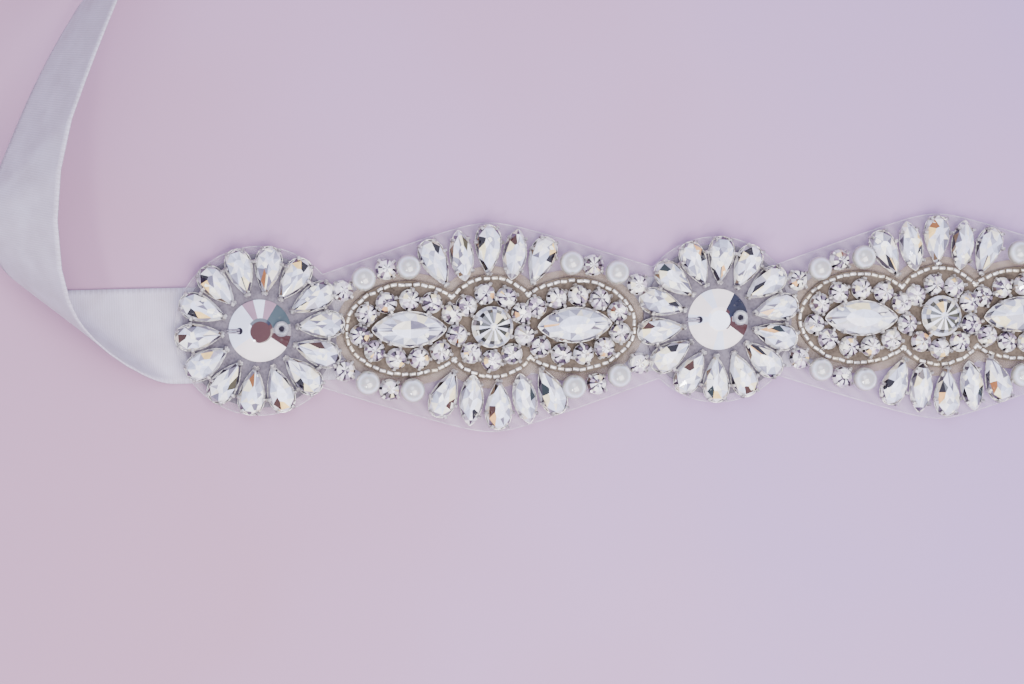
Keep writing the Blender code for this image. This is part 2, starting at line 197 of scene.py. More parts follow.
world = bpy.data.worlds.new("studio")
bpy.context.scene.world = world
world.use_nodes = True
world.node_tree.nodes["Background"].inputs["Color"].default_value = colour(ROOM_TINT)
world.node_tree.nodes["Background"].inputs["Strength"].default_value = ROOM_STRENGTH

# %% [markdown]
# ## Satin ribbon
# Single-face satin is woven so that long floats cover one side: it is smooth and glossy there,
# and dull and finely ribbed on the other. The ribbon under the applique lies with its ribbed side
# up, rolls over at the left and shows its smooth side as it rises. It could be a bent plane or a
# swept curve, but both stretch where they twist. A ribbon bends only along straight creases, so
# the strip below is walked crease by crease, which keeps its true width and length everywhere.
# It repeats the walk of the solids.

# %% Ribbon sizes
# A row of LEFT_LOOP is a crease: how far along its upper and its lower end lie, and its degrees.
RIBBON_WIDTH = 25.4
WALL = 1.0
RIBBON_Y = -0.2
PITCH = 61.8
RIBBON_JOIN_X = 2 * PITCH + 9.5
LEFT_LIFT_X = -143.5
LEFT_LOOP = (
    (30.2, 0.0, 49.7),
    (37.8, 4.7, 22.7),
    (41.5, 9.5, 27.0),
    (49.4, 36.5, 29.0),
    (62.5, 50.0, 49.0),
    (72.4, 102.0, 7.0),
    (96.0, 134.0, 15.0),
    (122.0, 158.0, 43.5),
    (165.0, 184.0, 12.0),
    (225.0, 189.0, 33.5),
    (285.0, 194.0, 55.0),
    (295.0, 254.0, 0.0),
)
CREASES_PER_ROW = 4
ROLL_RADIUS = 3.5
ROLL_CREASES = 12
ROLL_TURN = 193.0
LANDING_RADIUS = 16.0
LANDING_CREASES = 4
LANDING_PROBE = 100.0
LEFT_RUN, LEFT_LEANS, LEFT_BETWEEN_FOLDS, LEFT_END = 118.0, (52.0, 40.0), 17.0, 150.0
RIGHT_RUN, RIGHT_LEANS, RIGHT_BETWEEN_FOLDS, RIGHT_END = 58.0, (49.0, 40.0), 66.0, 270.0
print("the loop's creases turn the ribbon", sum(row[2] for row in LEFT_LOOP), "degrees in all")


# %% The walk along the strip
class RibbonStrip:
    """Walks along a strip and keeps both ends of every crease, and how far along they lie."""

    def __init__(self, start, heading):
        along = Vector(heading)
        across = Vector((0.0, 0.0, -1.0)).cross(along)
        self.origin = Vector(start)
        self.turned = Matrix((along, across, Vector((0, 0, -1)))).transposed()
        self.half = RIBBON_WIDTH / 2
        self.reach = 0.0
        self.creases = []

    def point(self, along, side):
        """A point of the strip: side is 1 at its upper edge, -1 at its lower one."""
        return self.origin + self.turned @ Vector((along, side * self.half, 0.0))

    def crease(self, upper, lower, degrees):
        """Keeps one crease and turns all that comes after it."""
        first = self.point(upper, 1)
        last = self.point(lower, -1)
        self.creases.append((first, last, upper, lower))
        turn = Matrix.Rotation(math.radians(-degrees), 3, (last - first).normalized())
        self.origin = first + turn @ (self.origin - first)
        self.turned = turn @ self.turned
        self.reach = max(upper, lower)

    def rows(self, table):
        """Bends along a table of creases, each shared out as far as the next one."""
        for row, after in zip(table, table[1:]):
            for step in range(CREASES_PER_ROW):
                share = (step + 0.5) / CREASES_PER_ROW
                upper = row[0] + (after[0] - row[0]) * share
                lower = row[1] + (after[1] - row[1]) * share
                self.crease(upper, lower, row[2] / CREASES_PER_ROW)

    def roll(self, middle, lean, degrees, radius, count):
        """A round bend whose creases lean by so many degrees."""
        slant = self.half / math.tan(math.radians(lean))
        arc = radius * math.radians(abs(degrees)) / abs(math.sin(math.radians(lean)))
        for step in range(count):
            spot = middle + arc * (step + 0.5) / count
            self.crease(spot + slant, spot - slant, degrees / count)

    def turn_over(self, middle, lean):
        """A fold back over the strip itself, then down onto the surface."""
        lift = ROLL_TURN if self.turned.col[2].z < 0 else -ROLL_TURN
        self.roll(middle, lean, lift, ROLL_RADIUS, ROLL_CREASES)
        self.lay_down()

    def lay_down(self):
        """Bends the strip flat onto the surface, where it meets it."""
        face = self.turned.col[2]
        up = 1.0 if face.z > 0 else -1.0
        level = face.cross(Vector((0.0, 0.0, 1.0))).normalized()
        in_strip = self.turned.transposed() @ level
        lean = math.degrees(math.atan2(in_strip.y, in_strip.x)) % 180.0
        tilt = math.degrees(math.acos(min(1.0, up * face.z)))
        kept = (self.origin.copy(), self.turned.copy(), len(self.creases), self.reach)
        best = None
        for degrees in (tilt, -tilt):
            heights = []
            for spot in (0.0, LANDING_PROBE):
                self.roll(spot, lean, degrees, LANDING_RADIUS, LANDING_CREASES)
                heights.append(self.point(spot, 0).z)
                flat = up * self.turned.col[2].z
                self.origin, self.turned = kept[0].copy(), kept[1].copy()
                del self.creases[kept[2]:]
            if best is None or flat > best[0]:
                spot = LANDING_PROBE * (WALL / 2 - heights[0]) / (heights[1] - heights[0])
                best = (flat, degrees, spot)
        self.reach = kept[3]
        self.roll(best[2], lean, best[1], LANDING_RADIUS, LANDING_CREASES)

    def finish(self, along):
        """Keeps a straight end, cut square."""
        self.creases.append((self.point(along, 1), self.point(along, -1), along, along))


# %% Walk both tails from the applique
left = RibbonStrip((LEFT_LIFT_X, RIBBON_Y, WALL / 2), (-1.0, 0.0, 0.0))
left.finish(LEFT_LIFT_X)
left.rows(LEFT_LOOP)
left.lay_down()
left.turn_over(left.reach + LEFT_RUN, LEFT_LEANS[0])
left.turn_over(left.reach + LEFT_BETWEEN_FOLDS, 180.0 - LEFT_LEANS[1])
left.finish(left.reach + LEFT_END)

right = RibbonStrip((RIBBON_JOIN_X, RIBBON_Y, WALL / 2), (1.0, 0.0, 0.0))
right.turn_over(RIGHT_RUN, RIGHT_LEANS[0])
right.turn_over(right.reach + RIGHT_BETWEEN_FOLDS, 180.0 - RIGHT_LEANS[1])
right.finish(right.reach + RIGHT_END)

# %% [markdown]
# ## The ribbon as one thin sheet
# A maker cuts one length, so the sheet is one mesh, where one for each stretch would leave seams.
# Every crease becomes a row of points, long flat stretches get more rows, and the width gets
# columns. A soft ripple, a fraction of a millimetre deep, stops it from looking like a plank. The
# UV map holds real lengths, across and along, so the weave follows the cloth round every fold.


# %% Helpers for meshes
def finished_mesh(name, shape, outwards=True):
    """A mesh from a shape drawn in millimetres, with its faces turned outwards if asked."""
    if outwards:
        bmesh.ops.recalc_face_normals(shape, faces=shape.faces)
    shape.transform(Matrix.Scale(MM, 4))
    mesh = bpy.data.meshes.new(name)
    shape.to_mesh(mesh)
    shape.free()
    return mesh


def circle(steps, first=0.0):
    """Cosine and sine at equal steps round a circle; the first lies first steps from +X."""
    turns = [2 * math.pi * (step + first) / steps for step in range(steps)]
    return [(math.cos(turn), math.sin(turn)) for turn in turns]


def bridge(shape, rings, again=False, smooth=True):
    """Joins rings of points with four-sided faces, also the last ring to the first if asked."""
    made = []
    for low, high in zip(rings, rings[1:] + (rings[:1] if again else [])):
        for step in range(len(low)):
            after = (step + 1) % len(low)
            made.append(shape.faces.new((low[step], low[after], high[after], high[step])))
            made[-1].smooth = smooth
    return made


def cap(shape, rings):
    """Closes the two ends of a row of rings."""
    shape.faces.new(rings[0][::-1])
    shape.faces.new(rings[-1])


def moved(mesh, x, y, z, turn=Matrix.Identity(4)):
    """The mesh, turned and then moved by millimetres."""
    mesh.transform(Matrix.Translation((MM * x, MM * y, MM * z)) @ turn)
    return mesh


print("a circle of four:", [(round(x), round(y)) for x, y in circle(4)])

# %% Lay the sheet through the creases
RIBBON_COLUMNS = 16
LONGEST_FACET = 4.0
SHEET_THICK = 0.45
RIPPLE_DEPTH = 0.28
RIPPLE_LENGTH = 23.0
RIPPLE_LONGER = 41.0
RIPPLE_ACROSS = 9.0
STILL_REACH = 150.0
STILL_FADE = 4.0


def strip_rows():
    """Rows of (upper point, lower point, upper length, lower length) from end to end."""
    rows = [(a, b, -s, -t) for a, b, s, t in reversed(left.creases)]
    shift = RIBBON_JOIN_X - LEFT_LIFT_X
    rows += [(b, a, t + shift, s + shift) for a, b, s, t in right.creases]
    filled = [rows[0]]
    for row, after in zip(rows, rows[1:]):
        gap = max((after[0] - row[0]).length, (after[1] - row[1]).length)
        steps = max(1, math.ceil(gap / LONGEST_FACET))
        for step in range(1, steps + 1):
            share = step / steps
            filled.append((
                row[0].lerp(after[0], share), row[1].lerp(after[1], share),
                row[2] + (after[2] - row[2]) * share, row[3] + (after[3] - row[3]) * share))
    return filled


def ripple(along, across):
    """A small uneven wave, in millimetres, still under the applique."""
    wave = math.sin(along / RIPPLE_LENGTH) * math.sin(along / RIPPLE_LONGER + across / RIPPLE_ACROSS)
    under_beads = max(0.0, 1.0 - abs(along + LEFT_LIFT_X) / STILL_REACH)
    return RIPPLE_DEPTH * wave * (1.0 - min(1.0, under_beads * STILL_FADE))


def ribbon_mesh():
    """The ribbon's sheet, its smooth side up at the left end of the walk."""
    shape = bmesh.new()
    uv = shape.loops.layers.uv.new("UVMap")
    grid = []
    for upper, lower, s_upper, s_lower in strip_rows():
        line = []
        for column in range(RIBBON_COLUMNS + 1):
            share = column / RIBBON_COLUMNS
            along = s_upper + (s_lower - s_upper) * share
            line.append((shape.verts.new(upper.lerp(lower, share)), share * RIBBON_WIDTH, along))
        grid.append(line)
    for row, after in zip(grid, grid[1:]):
        for column in range(RIBBON_COLUMNS):
            corners = (row[column], after[column], after[column + 1], row[column + 1])
            face = shape.faces.new([corner[0] for corner in corners])
            face.smooth = True
            for loop, corner in zip(face.loops, corners):
                loop[uv].uv = (corner[1] * MM, corner[2] * MM)
    shape.normal_update()
    for line in grid:
        for vert, across, along in line:
            vert.co += vert.normal * ripple(along, across)
    return finished_mesh("satin_ribbon", shape, outwards=False)


ribbon_drawn = ribbon_mesh()
print("ribbon sheet:", len(ribbon_drawn.polygons), "faces before it gets its thickness")

# %% [markdown]
# ## Satin and its ribbed back
# The satin side is polyester filament: smooth, with a long soft sheen across the floats. The back
# shows the weft as fine ribs, drawn 0.6 mm apart, which is about the finest that this picture can
# show. Both sides have a woven edge with a light dot every 1.4 mm. Ribs of real geometry would
# take millions of faces and an image would blur, so they are bump from the UV map, whose numbers
# are metres of cloth, and painted shade in stripes between the ribs.

# %% Ribbon materials
RIB_PITCH = 0.62
RIB_PAINTED_SHADE = 0.12
DOT_PITCH = 1.4
DOT_REACH = 1.3
DOT_FADE = 0.3
DOT_TONE = 0.14
DOT_RELIEF = 1.5
CLOTH_MOTTLE = 6.25


def ribbon_material(name, base, shade, rib_depth, rough, sheen):
    """Woven ribbon: ribs across it with painted shade between them, dots along both edges and a soft mottle.
    """
    made, tree, shader = new_material(name, Roughness=rough, Sheen_Weight=sheen, Sheen_Roughness=0.35)
    uv = add_node(tree, "ShaderNodeUVMap", uv_map="UVMap")
    parts = add_node(tree, "ShaderNodeSeparateXYZ", {"Vector": uv.outputs["UV"]})
    waves = []
    for pitch in (RIB_PITCH, DOT_PITCH):
        turns = add_node(tree, "ShaderNodeMath", {0: parts.outputs["Y"], 1: 2 * math.pi * per_metre(pitch)},
                         operation="MULTIPLY")
        waves.append(add_node(tree, "ShaderNodeMath", {0: turns.outputs[0]}, operation="SINE").outputs[0])
    rib_wave, dot_wave = waves
    from_edge = add_node(tree, "ShaderNodeMath", {0: parts.outputs["X"], 1: RIBBON_WIDTH / 2 * MM},
                         operation="SUBTRACT")
    from_middle = add_node(tree, "ShaderNodeMath", {0: from_edge.outputs[0]}, operation="ABSOLUTE")
    dots_start = RIBBON_WIDTH / 2 - DOT_REACH
    edge = add_node(tree, "ShaderNodeMapRange", {
        "Value": from_middle.outputs[0], "From Min": dots_start * MM,
        "From Max": (dots_start + DOT_FADE) * MM})
    dot = add_node(tree, "ShaderNodeMath", {0: dot_wave, 1: edge.outputs[0]}, operation="MULTIPLY")
    place = add_node(tree, "ShaderNodeTexCoord")
    mottle = add_node(tree, "ShaderNodeTexNoise", {
        "Vector": place.outputs["Object"], "Scale": per_metre(CLOTH_MOTTLE), "Detail": 3.0})
    # The rib wave darkens the colour in stripes: painted shade between the ribs.
    tone = add_node(tree, "ShaderNodeMath", {0: rib_wave, 1: RIB_PAINTED_SHADE, 2: mottle.outputs["Fac"]},
                    operation="MULTIPLY_ADD")
    lighter = add_node(tree, "ShaderNodeMath", {0: dot.outputs[0], 1: DOT_TONE, 2: tone.outputs[0]},
                       operation="MULTIPLY_ADD")
    dyed(tree, shader, lighter.outputs[0], [(0.15, shade), (0.85, base)])
    relief = add_node(tree, "ShaderNodeMath", {0: dot.outputs[0], 1: DOT_RELIEF, 2: rib_wave},
                      operation="MULTIPLY_ADD")
    bump = add_node(tree, "ShaderNodeBump", {
        "Height": relief.outputs[0], "Distance": rib_depth * MM, "Strength": 0.6})
    tree.links.new(bump.outputs["Normal"], shader.inputs["Normal"])
    return made


# The face is all floats of bright filament: a cool white with a broad, soft sheen and no grain.
satin_face = ribbon_material("polyester_satin_face", "DADDFC", "CCCFEF", 0.004, 0.34, 0.25)
# The back is short crossings: duller and greyer, with ribs that catch the light one by one.
satin_back = ribbon_material("polyester_satin_ribbed_back", "BFB9D0", "A79DAE", 0.03, 0.55, 0.15)

# %% Finish the ribbon piece


def link(name, mesh, *materials):
    """A new object with its mesh and materials, in the scene."""
    made = bpy.data.objects.new(name, mesh)
    if materials:
        mesh.materials.clear()
        for one in materials:
            mesh.materials.append(one)
    bpy.context.scene.collection.objects.link(made)
    return made


def made_plain(thing, name, *materials):
    """Turns an object with modifiers into a plain mesh, and removes the old one."""
    graph = bpy.context.evaluated_depsgraph_get()
    mesh = bpy.data.meshes.new_from_object(
        thing.evaluated_get(graph), preserve_all_data_layers=True, depsgraph=graph)
    bpy.data.objects.remove(thing, do_unlink=True)
    mesh.name = name
    return link(name, mesh, *materials)


def walled(name, mesh, thick, *materials, **settings):
    """A sheet with a wall of its own thickness, half of it to each side."""
    thing = link(name + "_sheet", mesh, *materials)
    wall = thing.modifiers.new("wall", "SOLIDIFY")
    wall.thickness = thick * MM
    wall.offset = 0.0
    for setting_name, value in settings.items():
        setattr(wall, setting_name, value)
    return made_plain(thing, name, *materials)


def adopt(piece, slot_name, *nodes):
    """The piece rides with the belt and stands for the named solids; slot_name is not used."""
    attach(piece, BODY)
    if nodes:
        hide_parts(*nodes)
    print(piece.name, "triangles:", sum(len(face.vertices) - 2 for face in piece.data.polygons))


ribbon = walled("satin_ribbon", ribbon_drawn, SHEET_THICK, satin_back, satin_face,
                material_offset=1, material_offset_rim=1)
adopt(ribbon, "satin", *[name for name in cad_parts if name.startswith("ribbon_")])

# %% [markdown]
# ## Net backing
# The applique is sewn on stiff sheer organza, cut close round the stones with a scalloped edge. It
# is so fine that the surface shows through it. It could be a card with an image of net, but its
# edge would be jagged, so it is a real thin sheet that follows the outline of its solid and lets
# light through. A thin bright line along the edge is where the cut threads catch the light.

# %% Net outline
NET_Z = 1.3
DAISY_Y = 0.6
DAISIES = (-2, 0, 2)
MEDALLIONS = (-1, 1)
SCALLOP_PEAK, SCALLOP_SLOPE, SCALLOP_ROUND = 30.3, 0.335, 7.0
DAISY_NET_RADIUS = 22.4
NET_SHEET_Z = NET_Z + 0.75
NET_THICK = 0.18
NET_ROWS = 24
NET_STEPS = 370
NET_REACH = 2 * PITCH + DAISY_NET_RADIUS - 0.05


def net_half_width(x, side):
    """Half width of the net at x, above (side 1) or below (side -1)."""
    width = 0.0
    for spot in MEDALLIONS:
        off = x - spot * PITCH
        if abs(off) < PITCH:
            width = max(width, SCALLOP_PEAK - SCALLOP_SLOPE * math.hypot(off, SCALLOP_ROUND))
    for spot in DAISIES:
        off = x - spot * PITCH
        if abs(off) < DAISY_NET_RADIUS:
            bow = math.sqrt(DAISY_NET_RADIUS ** 2 - off ** 2)
            width = max(width if abs(spot) < 2 or off * spot < 0 else 0.0, bow + side * DAISY_Y)
    return width


net_columns = [-NET_REACH + 2 * NET_REACH * step / NET_STEPS for step in range(NET_STEPS + 1)]

# %% Net sheet
NET_DROOP = 0.35
NET_DROOP_START = 1.0
NET_DROOP_REACH = 6.0
NET_WAVE = 0.12
NET_WAVE_LENGTHS = (3.7, 9.1, 4.0)
NET_WAVE_START = 3.0


def net_mesh():
    """A sheet of columns across the net, lying just over the ribbon and drooping past it."""
    shape = bmesh.new()
    grid = []
    for x in net_columns:
        high, low = net_half_width(x, 1), -net_half_width(x, -1)
        line = []
        for row in range(NET_ROWS + 1):
            y = low + (high - low) * row / NET_ROWS
            past = max(0.0, abs(y) - RIBBON_WIDTH / 2 - NET_DROOP_START)
            droop = NET_DROOP * math.sin(min(1.0, past / NET_DROOP_REACH) * math.pi / 2)
            free = min(1.0, past / NET_WAVE_START)
            short, long, across = NET_WAVE_LENGTHS
            wave = NET_WAVE * math.sin(x / short) * math.sin(x / long + y / across) * free
            line.append(shape.verts.new((x, y, NET_SHEET_Z - droop + wave)))
        grid.append(line)
    for row, after in zip(grid, grid[1:]):
        for spot in range(NET_ROWS):
            shape.faces.new((row[spot], after[spot], after[spot + 1], row[spot + 1])).smooth = True
    bmesh.ops.remove_doubles(shape, verts=shape.verts, dist=0.01)
    return finished_mesh("net", shape)


# Organza is stiff, twisted nylon in a very open weave: it greys what lies under it and shows a
# faint sheen. Its threads, 0.15 mm apart, are too fine to show, so bands 3 mm apart stand in.
# A wave texture lays 10 radians of its diagonal bands to a unit, counted along X and Y.
ORGANZA_BAND = 3.021
BANDS_PER_UNIT = 10.0 * math.sqrt(2.0) / (2 * math.pi)
organza, tree, shader = new_material("nylon_organza", Roughness=0.45, Alpha=0.12, Sheen_Weight=0.4)
place = add_node(tree, "ShaderNodeTexCoord")
weave = add_node(tree, "ShaderNodeTexWave", {
    "Vector": place.outputs["Object"], "Scale": per_metre(ORGANZA_BAND) / BANDS_PER_UNIT,
    "Distortion": 0.4, "Detail": 1.0}, bands_direction="DIAGONAL")
dyed(tree, shader, weave.outputs["Fac"], [(0.0, "BEB8C6"), (1.0, "E2DCE8")])
bump = add_node(tree, "ShaderNodeBump", {
    "Height": weave.outputs["Fac"], "Distance": 0.03 * MM, "Strength": 0.5})
tree.links.new(bump.outputs["Normal"], shader.inputs["Normal"])

net = walled("organza_net", net_mesh(), NET_THICK, organza)
adopt(net, "organza", "net_backing")

# %% Cut edge of the net
EDGE_RADIUS = 0.12
EDGE_Z = NET_SHEET_Z - 0.3


def thread_mesh(name, points, radius, sides=5, closed=False):
    """A thread of the given radius through points, in millimetres."""
    shape = bmesh.new()
    rings = []
    count = len(points)
    for index, point in enumerate(points):
        ahead = points[(index + 1) % count] if closed or index + 1 < count else point
        behind = points[index - 1] if closed or index else point
        along = (Vector(ahead) - Vector(behind)).normalized()
        across = along.cross(Vector((0.0, 0.0, 1.0))).normalized()
        up = across.cross(along)
        rings.append([shape.verts.new(Vector(point) + across * (radius * a) + up * (radius * b))
                      for a, b in circle(sides)])
    bridge(shape, rings, again=closed)
    if not closed:
        cap(shape, rings)
    return finished_mesh(name, shape)


# Where the knife has cut, the thread ends stand close together: a thin line, paler than the net
# and half clear, partly a painted highlight where the cut threads catch the light. The threads are
# drawn in patches 1.4 mm wide, coarser than they are.
cut_edge = mottled("nylon_cut_edge", "C4BCCC", "F0EAF4", 1.43, Roughness=0.3, Alpha=0.42, Sheen_Weight=0.3)
edge_points = [(x, net_half_width(x, 1), EDGE_Z) for x in net_columns]
edge_points += [(x, -net_half_width(x, -1), EDGE_Z) for x in reversed(net_columns)]
edge_thread = thread_mesh("net_cut_edge", edge_points, EDGE_RADIUS, closed=True)
adopt(link("net_cut_edge", edge_thread, cut_edge), "organza")

# %% [markdown]
# ## Cut stones
# A foiled stone is clear glass with a mirror behind it, so each facet returns a different scrap of
# the room: most are white or pale, a few black, and some split the light into cream, orange or
# brown-red. Tracing that through glass would be slow and noisy, and would be lost in export. So
# every facet is real geometry that carries its own number, and the material turns that number and
# the stone's own number into one of those tones, as a painted reflection. A second number, the
# zone, tells the table, the crown and the thin slivers apart, and a third, the wedge, says where
# round the stone a facet lies, so that one wedge of a stone can flash as a whole.

# %% Outlines of the stones
PEAR_FULLEST = 0.77


def circle_point(share, length, width):
    """Round, at a share of a turn from +X."""
    turn = 2 * math.pi * share
    return Vector((length / 2 * math.cos(turn), width / 2 * math.sin(turn), 0.0))


def pear_point(share, length, width):
    """Teardrop with its tip towards +X."""
    turn = 2 * math.pi * share
    bow = math.sin(turn) * math.sin(turn / 2) / PEAR_FULLEST
    return Vector((length / 2 * math.cos(turn), width / 2 * bow, 0.0))


def navette_point(share, length, width):
    """Boat shape, pointed at both ends of X."""
    turn = 2 * math.pi * share
    bow = math.sin(turn) * math.sqrt(abs(math.sin(turn)))
    return Vector((length / 2 * math.cos(turn), width / 2 * bow, 0.0))


def facet_shares(sides, sliver):
    """Places round a stone; a sliver above 0 splits off a thin facet at each side."""
    shares = []
    for side in range(sides):
        shares.append(side / sides)
        if sliver:
            shares.append((side + 1 - sliver) / sides)
    return shares


for outline in (circle_point, pear_point, navette_point):
    print(outline.__name__, "at an eighth of a turn:", [round(value, 2) for value in outline(1 / 8, 2, 2)])

# %% Facets of a stone
CROWN_ZONE, SLIVER_ZONE = 1.0, 2.0
NO_WEDGE = -1.0
BASE_RISE = 0.05


def cut_stone(name, outline, size, sides, levels, focus=(0.0, 0.0), sliver=0.0, table=1, seed=1):
    """A closed faceted stone. A level is its share of the width and of the height, and the zones
    of the facets and of the slivers above it: 0 table, 1 crown, 2 sliver, or a mix between. Facets
    of the table share a tone in groups, and the ring below it carries their place round the stone."""
    length, width, height = size
    draw = random.Random(seed)
    shape = bmesh.new()
    number = shape.faces.layers.float.new("facet")
    zone = shape.faces.layers.float.new("zone")
    wedge = shape.faces.layers.float.new("wedge")
    shares = facet_shares(sides, sliver)
    count = len(shares)
    middle = Vector((focus[0], focus[1], 0.0))
    rings = []
    for step, (size_share, rise, _, _) in enumerate(levels):
        ring = []
        for index, share in enumerate(shares):
            after = shares[(index + 1) % count] + (1.0 if index + 1 == count else 0.0)
            turned_share = (share + after) / 2 if step % 2 and not sliver else share
            spot = middle + (outline(turned_share, length, width) - middle) * size_share
            ring.append(shape.verts.new((spot.x, spot.y, rise * height)))
        rings.append(ring)

    def facet(corners, tone, kind, where=NO_WEDGE):
        face = shape.faces.new(corners)
        face[number] = tone
        face[zone] = kind
        face[wedge] = where

    for step, (low, high) in enumerate(zip(rings, rings[1:])):
        for index in range(count):
            after = (index + 1) % count
            kind = levels[step][3 if sliver and index % 2 else 2]
            where = (index + 0.5) / count if step == len(levels) - 2 else NO_WEDGE
            if sliver:
                parts = [(low[index], low[after], high[after], high[index])]
            elif step % 2:
                parts = [(low[index], high[after], high[index]), (low[index], low[after], high[after])]
            else:
                parts = [(low[index], low[after], high[index]), (low[after], high[after], high[index])]
            for corners in parts:
                facet(corners, draw.random(), kind, where)
    top = shape.verts.new((middle.x, middle.y, height))
    tones = [draw.random() for _ in range(count)]
    for index in range(count):
        kind = levels[-1][3 if sliver and index % 2 else 2]
        facet((rings[-1][index], rings[-1][(index + 1) % count], top), tones[index // table], kind)
    bottom = shape.verts.new((0.0, 0.0, BASE_RISE * height))
    for index in range(count):
        facet((rings[0][(index + 1) % count], rings[0][index], bottom), draw.random(), SLIVER_ZONE)
    made = finished_mesh(name, shape)
    print(name, "facets:", len(made.polygons))
    return made


# %% [markdown]
# ## Claw settings
# Each stone sits in a stamped silver-plated cup. From above only a fine bright line round the
# stone shows, and small claws that are bent over its edge. A real one is pressed from sheet. Here
# the cup is drawn round the same outline as the stone, so that it fits every shape, and each claw
# is a little tab that follows the wall and folds inwards.

# %% Shape of a setting
CLAW_WIDTH = 1.2
CLAW_THICK = 0.32
CLAW_TAPER = 0.12
CLAW_SPREAD = 0.8
CLAW_RISE, CLAW_RISE_MORE = 0.2, 0.3
TANGENT_STEP = 0.004
CLAW_CORNERS = 0.7
CLAW_PATH = ((0.12, 0.22), (0.28, 0.52), (0.16, 0.82), (-0.60, 0.92))
CUP_PROFILE = ((0.60, 0.0), (0.86, 0.05), (1.00, 0.18), (1.02, 0.32), (1.0, 0.35), (0.97, 0.30), (0.6, 0.10))


def add_claw(shape, outline, length, width, height, share):
    """One bent tab over the stone's edge."""
    spot = outline(share, length, width)
    ahead = outline(share + TANGENT_STEP, length, width)
    tangent = (ahead - outline(share - TANGENT_STEP, length, width)).normalized()
    outwards = Vector((tangent.y, -tangent.x, 0.0))
    sections = []
    for step, (out, rise) in enumerate(CLAW_PATH):
        half = CLAW_WIDTH / 2 * (1.0 - CLAW_TAPER * step)
        base = spot + outwards * out + Vector((0, 0, rise * height))
        lift = outwards * CLAW_THICK * CLAW_SPREAD
        lift += Vector((0, 0, CLAW_THICK * (CLAW_RISE + CLAW_RISE_MORE * step)))
        edge = tangent * half * CLAW_CORNERS
        corners = (base - tangent * half, base + tangent * half, base + edge + lift, base - edge + lift)
        sections.append([shape.verts.new(corner) for corner in corners])
    bridge(shape, sections, smooth=False)
    cap(shape, sections)


def setting(name, outline, size, claws, around=32):
    """A cup round a stone, with claws at the given places round it."""
    length, width, height = size
    shape = bmesh.new()
    rings = []
    for share, rise in CUP_PROFILE:
        spots = [outline(step / around, length, width) * share for step in range(around)]
        rings.append([shape.verts.new((spot.x, spot.y, rise * height)) for spot in spots])
    bridge(shape, rings)
    cap(shape, rings)
    for claw in claws:
        add_claw(shape, outline, length, width, height, claw)
    made = finished_mesh(name, shape)
    print(name, "claws:", len(claws), "faces:", len(made.polygons))
    return made


# %% [markdown]
# ## Foiled crystal and plated metal
# The tone of a facet, a painted reflection, is drawn from a ramp with hard steps, so a neighbour
# can be quite different.
# Glass keeps an IOR near 1.55 and a very low roughness, so lamps still glint on it. Four recipes
# share one function: the petals and pears, the paler marquises, the round stone with its dark
# slivers, and the small stones with their lilac cast.

# %% Tones of the facets
TABLE_TONES = (
    (0.00, "DCE2FE"), (0.32, "F8F9FF"), (0.50, "BEC4E0"), (0.64, "EFEDFF"), (0.76, "9C9CB6"),
    (0.86, "FFF9EC"), (0.94, "6E6A82"),
)
LILAC_TONES = (
    (0.00, "EFE4F6"), (0.26, "FFFFFF"), (0.42, "C4AECC"), (0.56, "F8F2FF"), (0.72, "92809E"),
    (0.82, "FFFFFF"), (0.92, "54465E"),
)
CROWN_TONES = (
    (0.00, "E4E6F4"), (0.20, "8C8698"), (0.34, "FFFFFF"), (0.48, "4E4856"), (0.62, "B6B0C0"),
    (0.74, "2A2530"), (0.84, "F2E4CC"), (0.90, "75604F"), (0.95, "14101A"),
)
SLIVER_TONES = (
    (0.0, "F6F3FC"), (0.16, "33283E"), (0.36, "C2B0CA"), (0.50, "120E18"), (0.68, "FFFFFF"),
    (0.78, "6E5C74"), (0.88, "1C141C"), (0.96, "E5CFB0"),
)
DARK_SLIVERS = (
    (0.0, "1C1D1A"), (0.35, "2E3029"), (0.55, "101014"), (0.75, "43443A"), (0.90, "E9DFC0"),
)
ACCENT_TONES = (
    (0.0, "15121F"), (0.32, "3F221F"), (0.52, "8A542C"), (0.66, "45402F"), (0.76, "16242A"),
    (0.88, "A8A2B8"),
)
GLOW_TONES = ((0.0, "FFF1C4"), (0.3, "FFD78A"), (0.48, "FFFFFF"), (0.70, "FFF7DA"), (0.86, "E9B070"))
print("tones of a crown:", len(CROWN_TONES))

# %% Crystal materials
SPARKLE_PITCH = 1.3
SPARKLE_TINT = "FFFDF2"
WEDGE_HALF = 0.05
DRAW_STEPS = 1000.0


def toned(tree, value, stops, part=None, under=None):
    """Hard steps of tone over a value from 0 to 1, laid over another colour where part is 1."""
    ramp = add_node(tree, "ShaderNodeValToRGB", {"Fac": value})
    ramp_stops(ramp, stops, constant=True)
    if under is None:
        return ramp.outputs["Color"]
    over = add_node(tree, "ShaderNodeMix", {"Factor": part, "A": under, "B": ramp.outputs["Color"]},
                    data_type="RGBA")
    return over.outputs["Result"]


def drawn_from(tree, source, times, plus):
    """A random number from 0 to 1 that a stone's own number decides, the same all over a facet."""
    mixed = add_node(tree, "ShaderNodeMath", {0: source, 1: times, 2: plus}, operation="MULTIPLY_ADD")
    many = add_node(tree, "ShaderNodeMath", {0: mixed.outputs[0], 1: DRAW_STEPS}, operation="MULTIPLY")
    whole = add_node(tree, "ShaderNodeMath", {0: many.outputs[0]}, operation="ROUND")
    drawn = add_node(tree, "ShaderNodeTexWhiteNoise", {"W": whole.outputs[0]}, noise_dimensions="1D")
    return drawn.outputs["Value"]


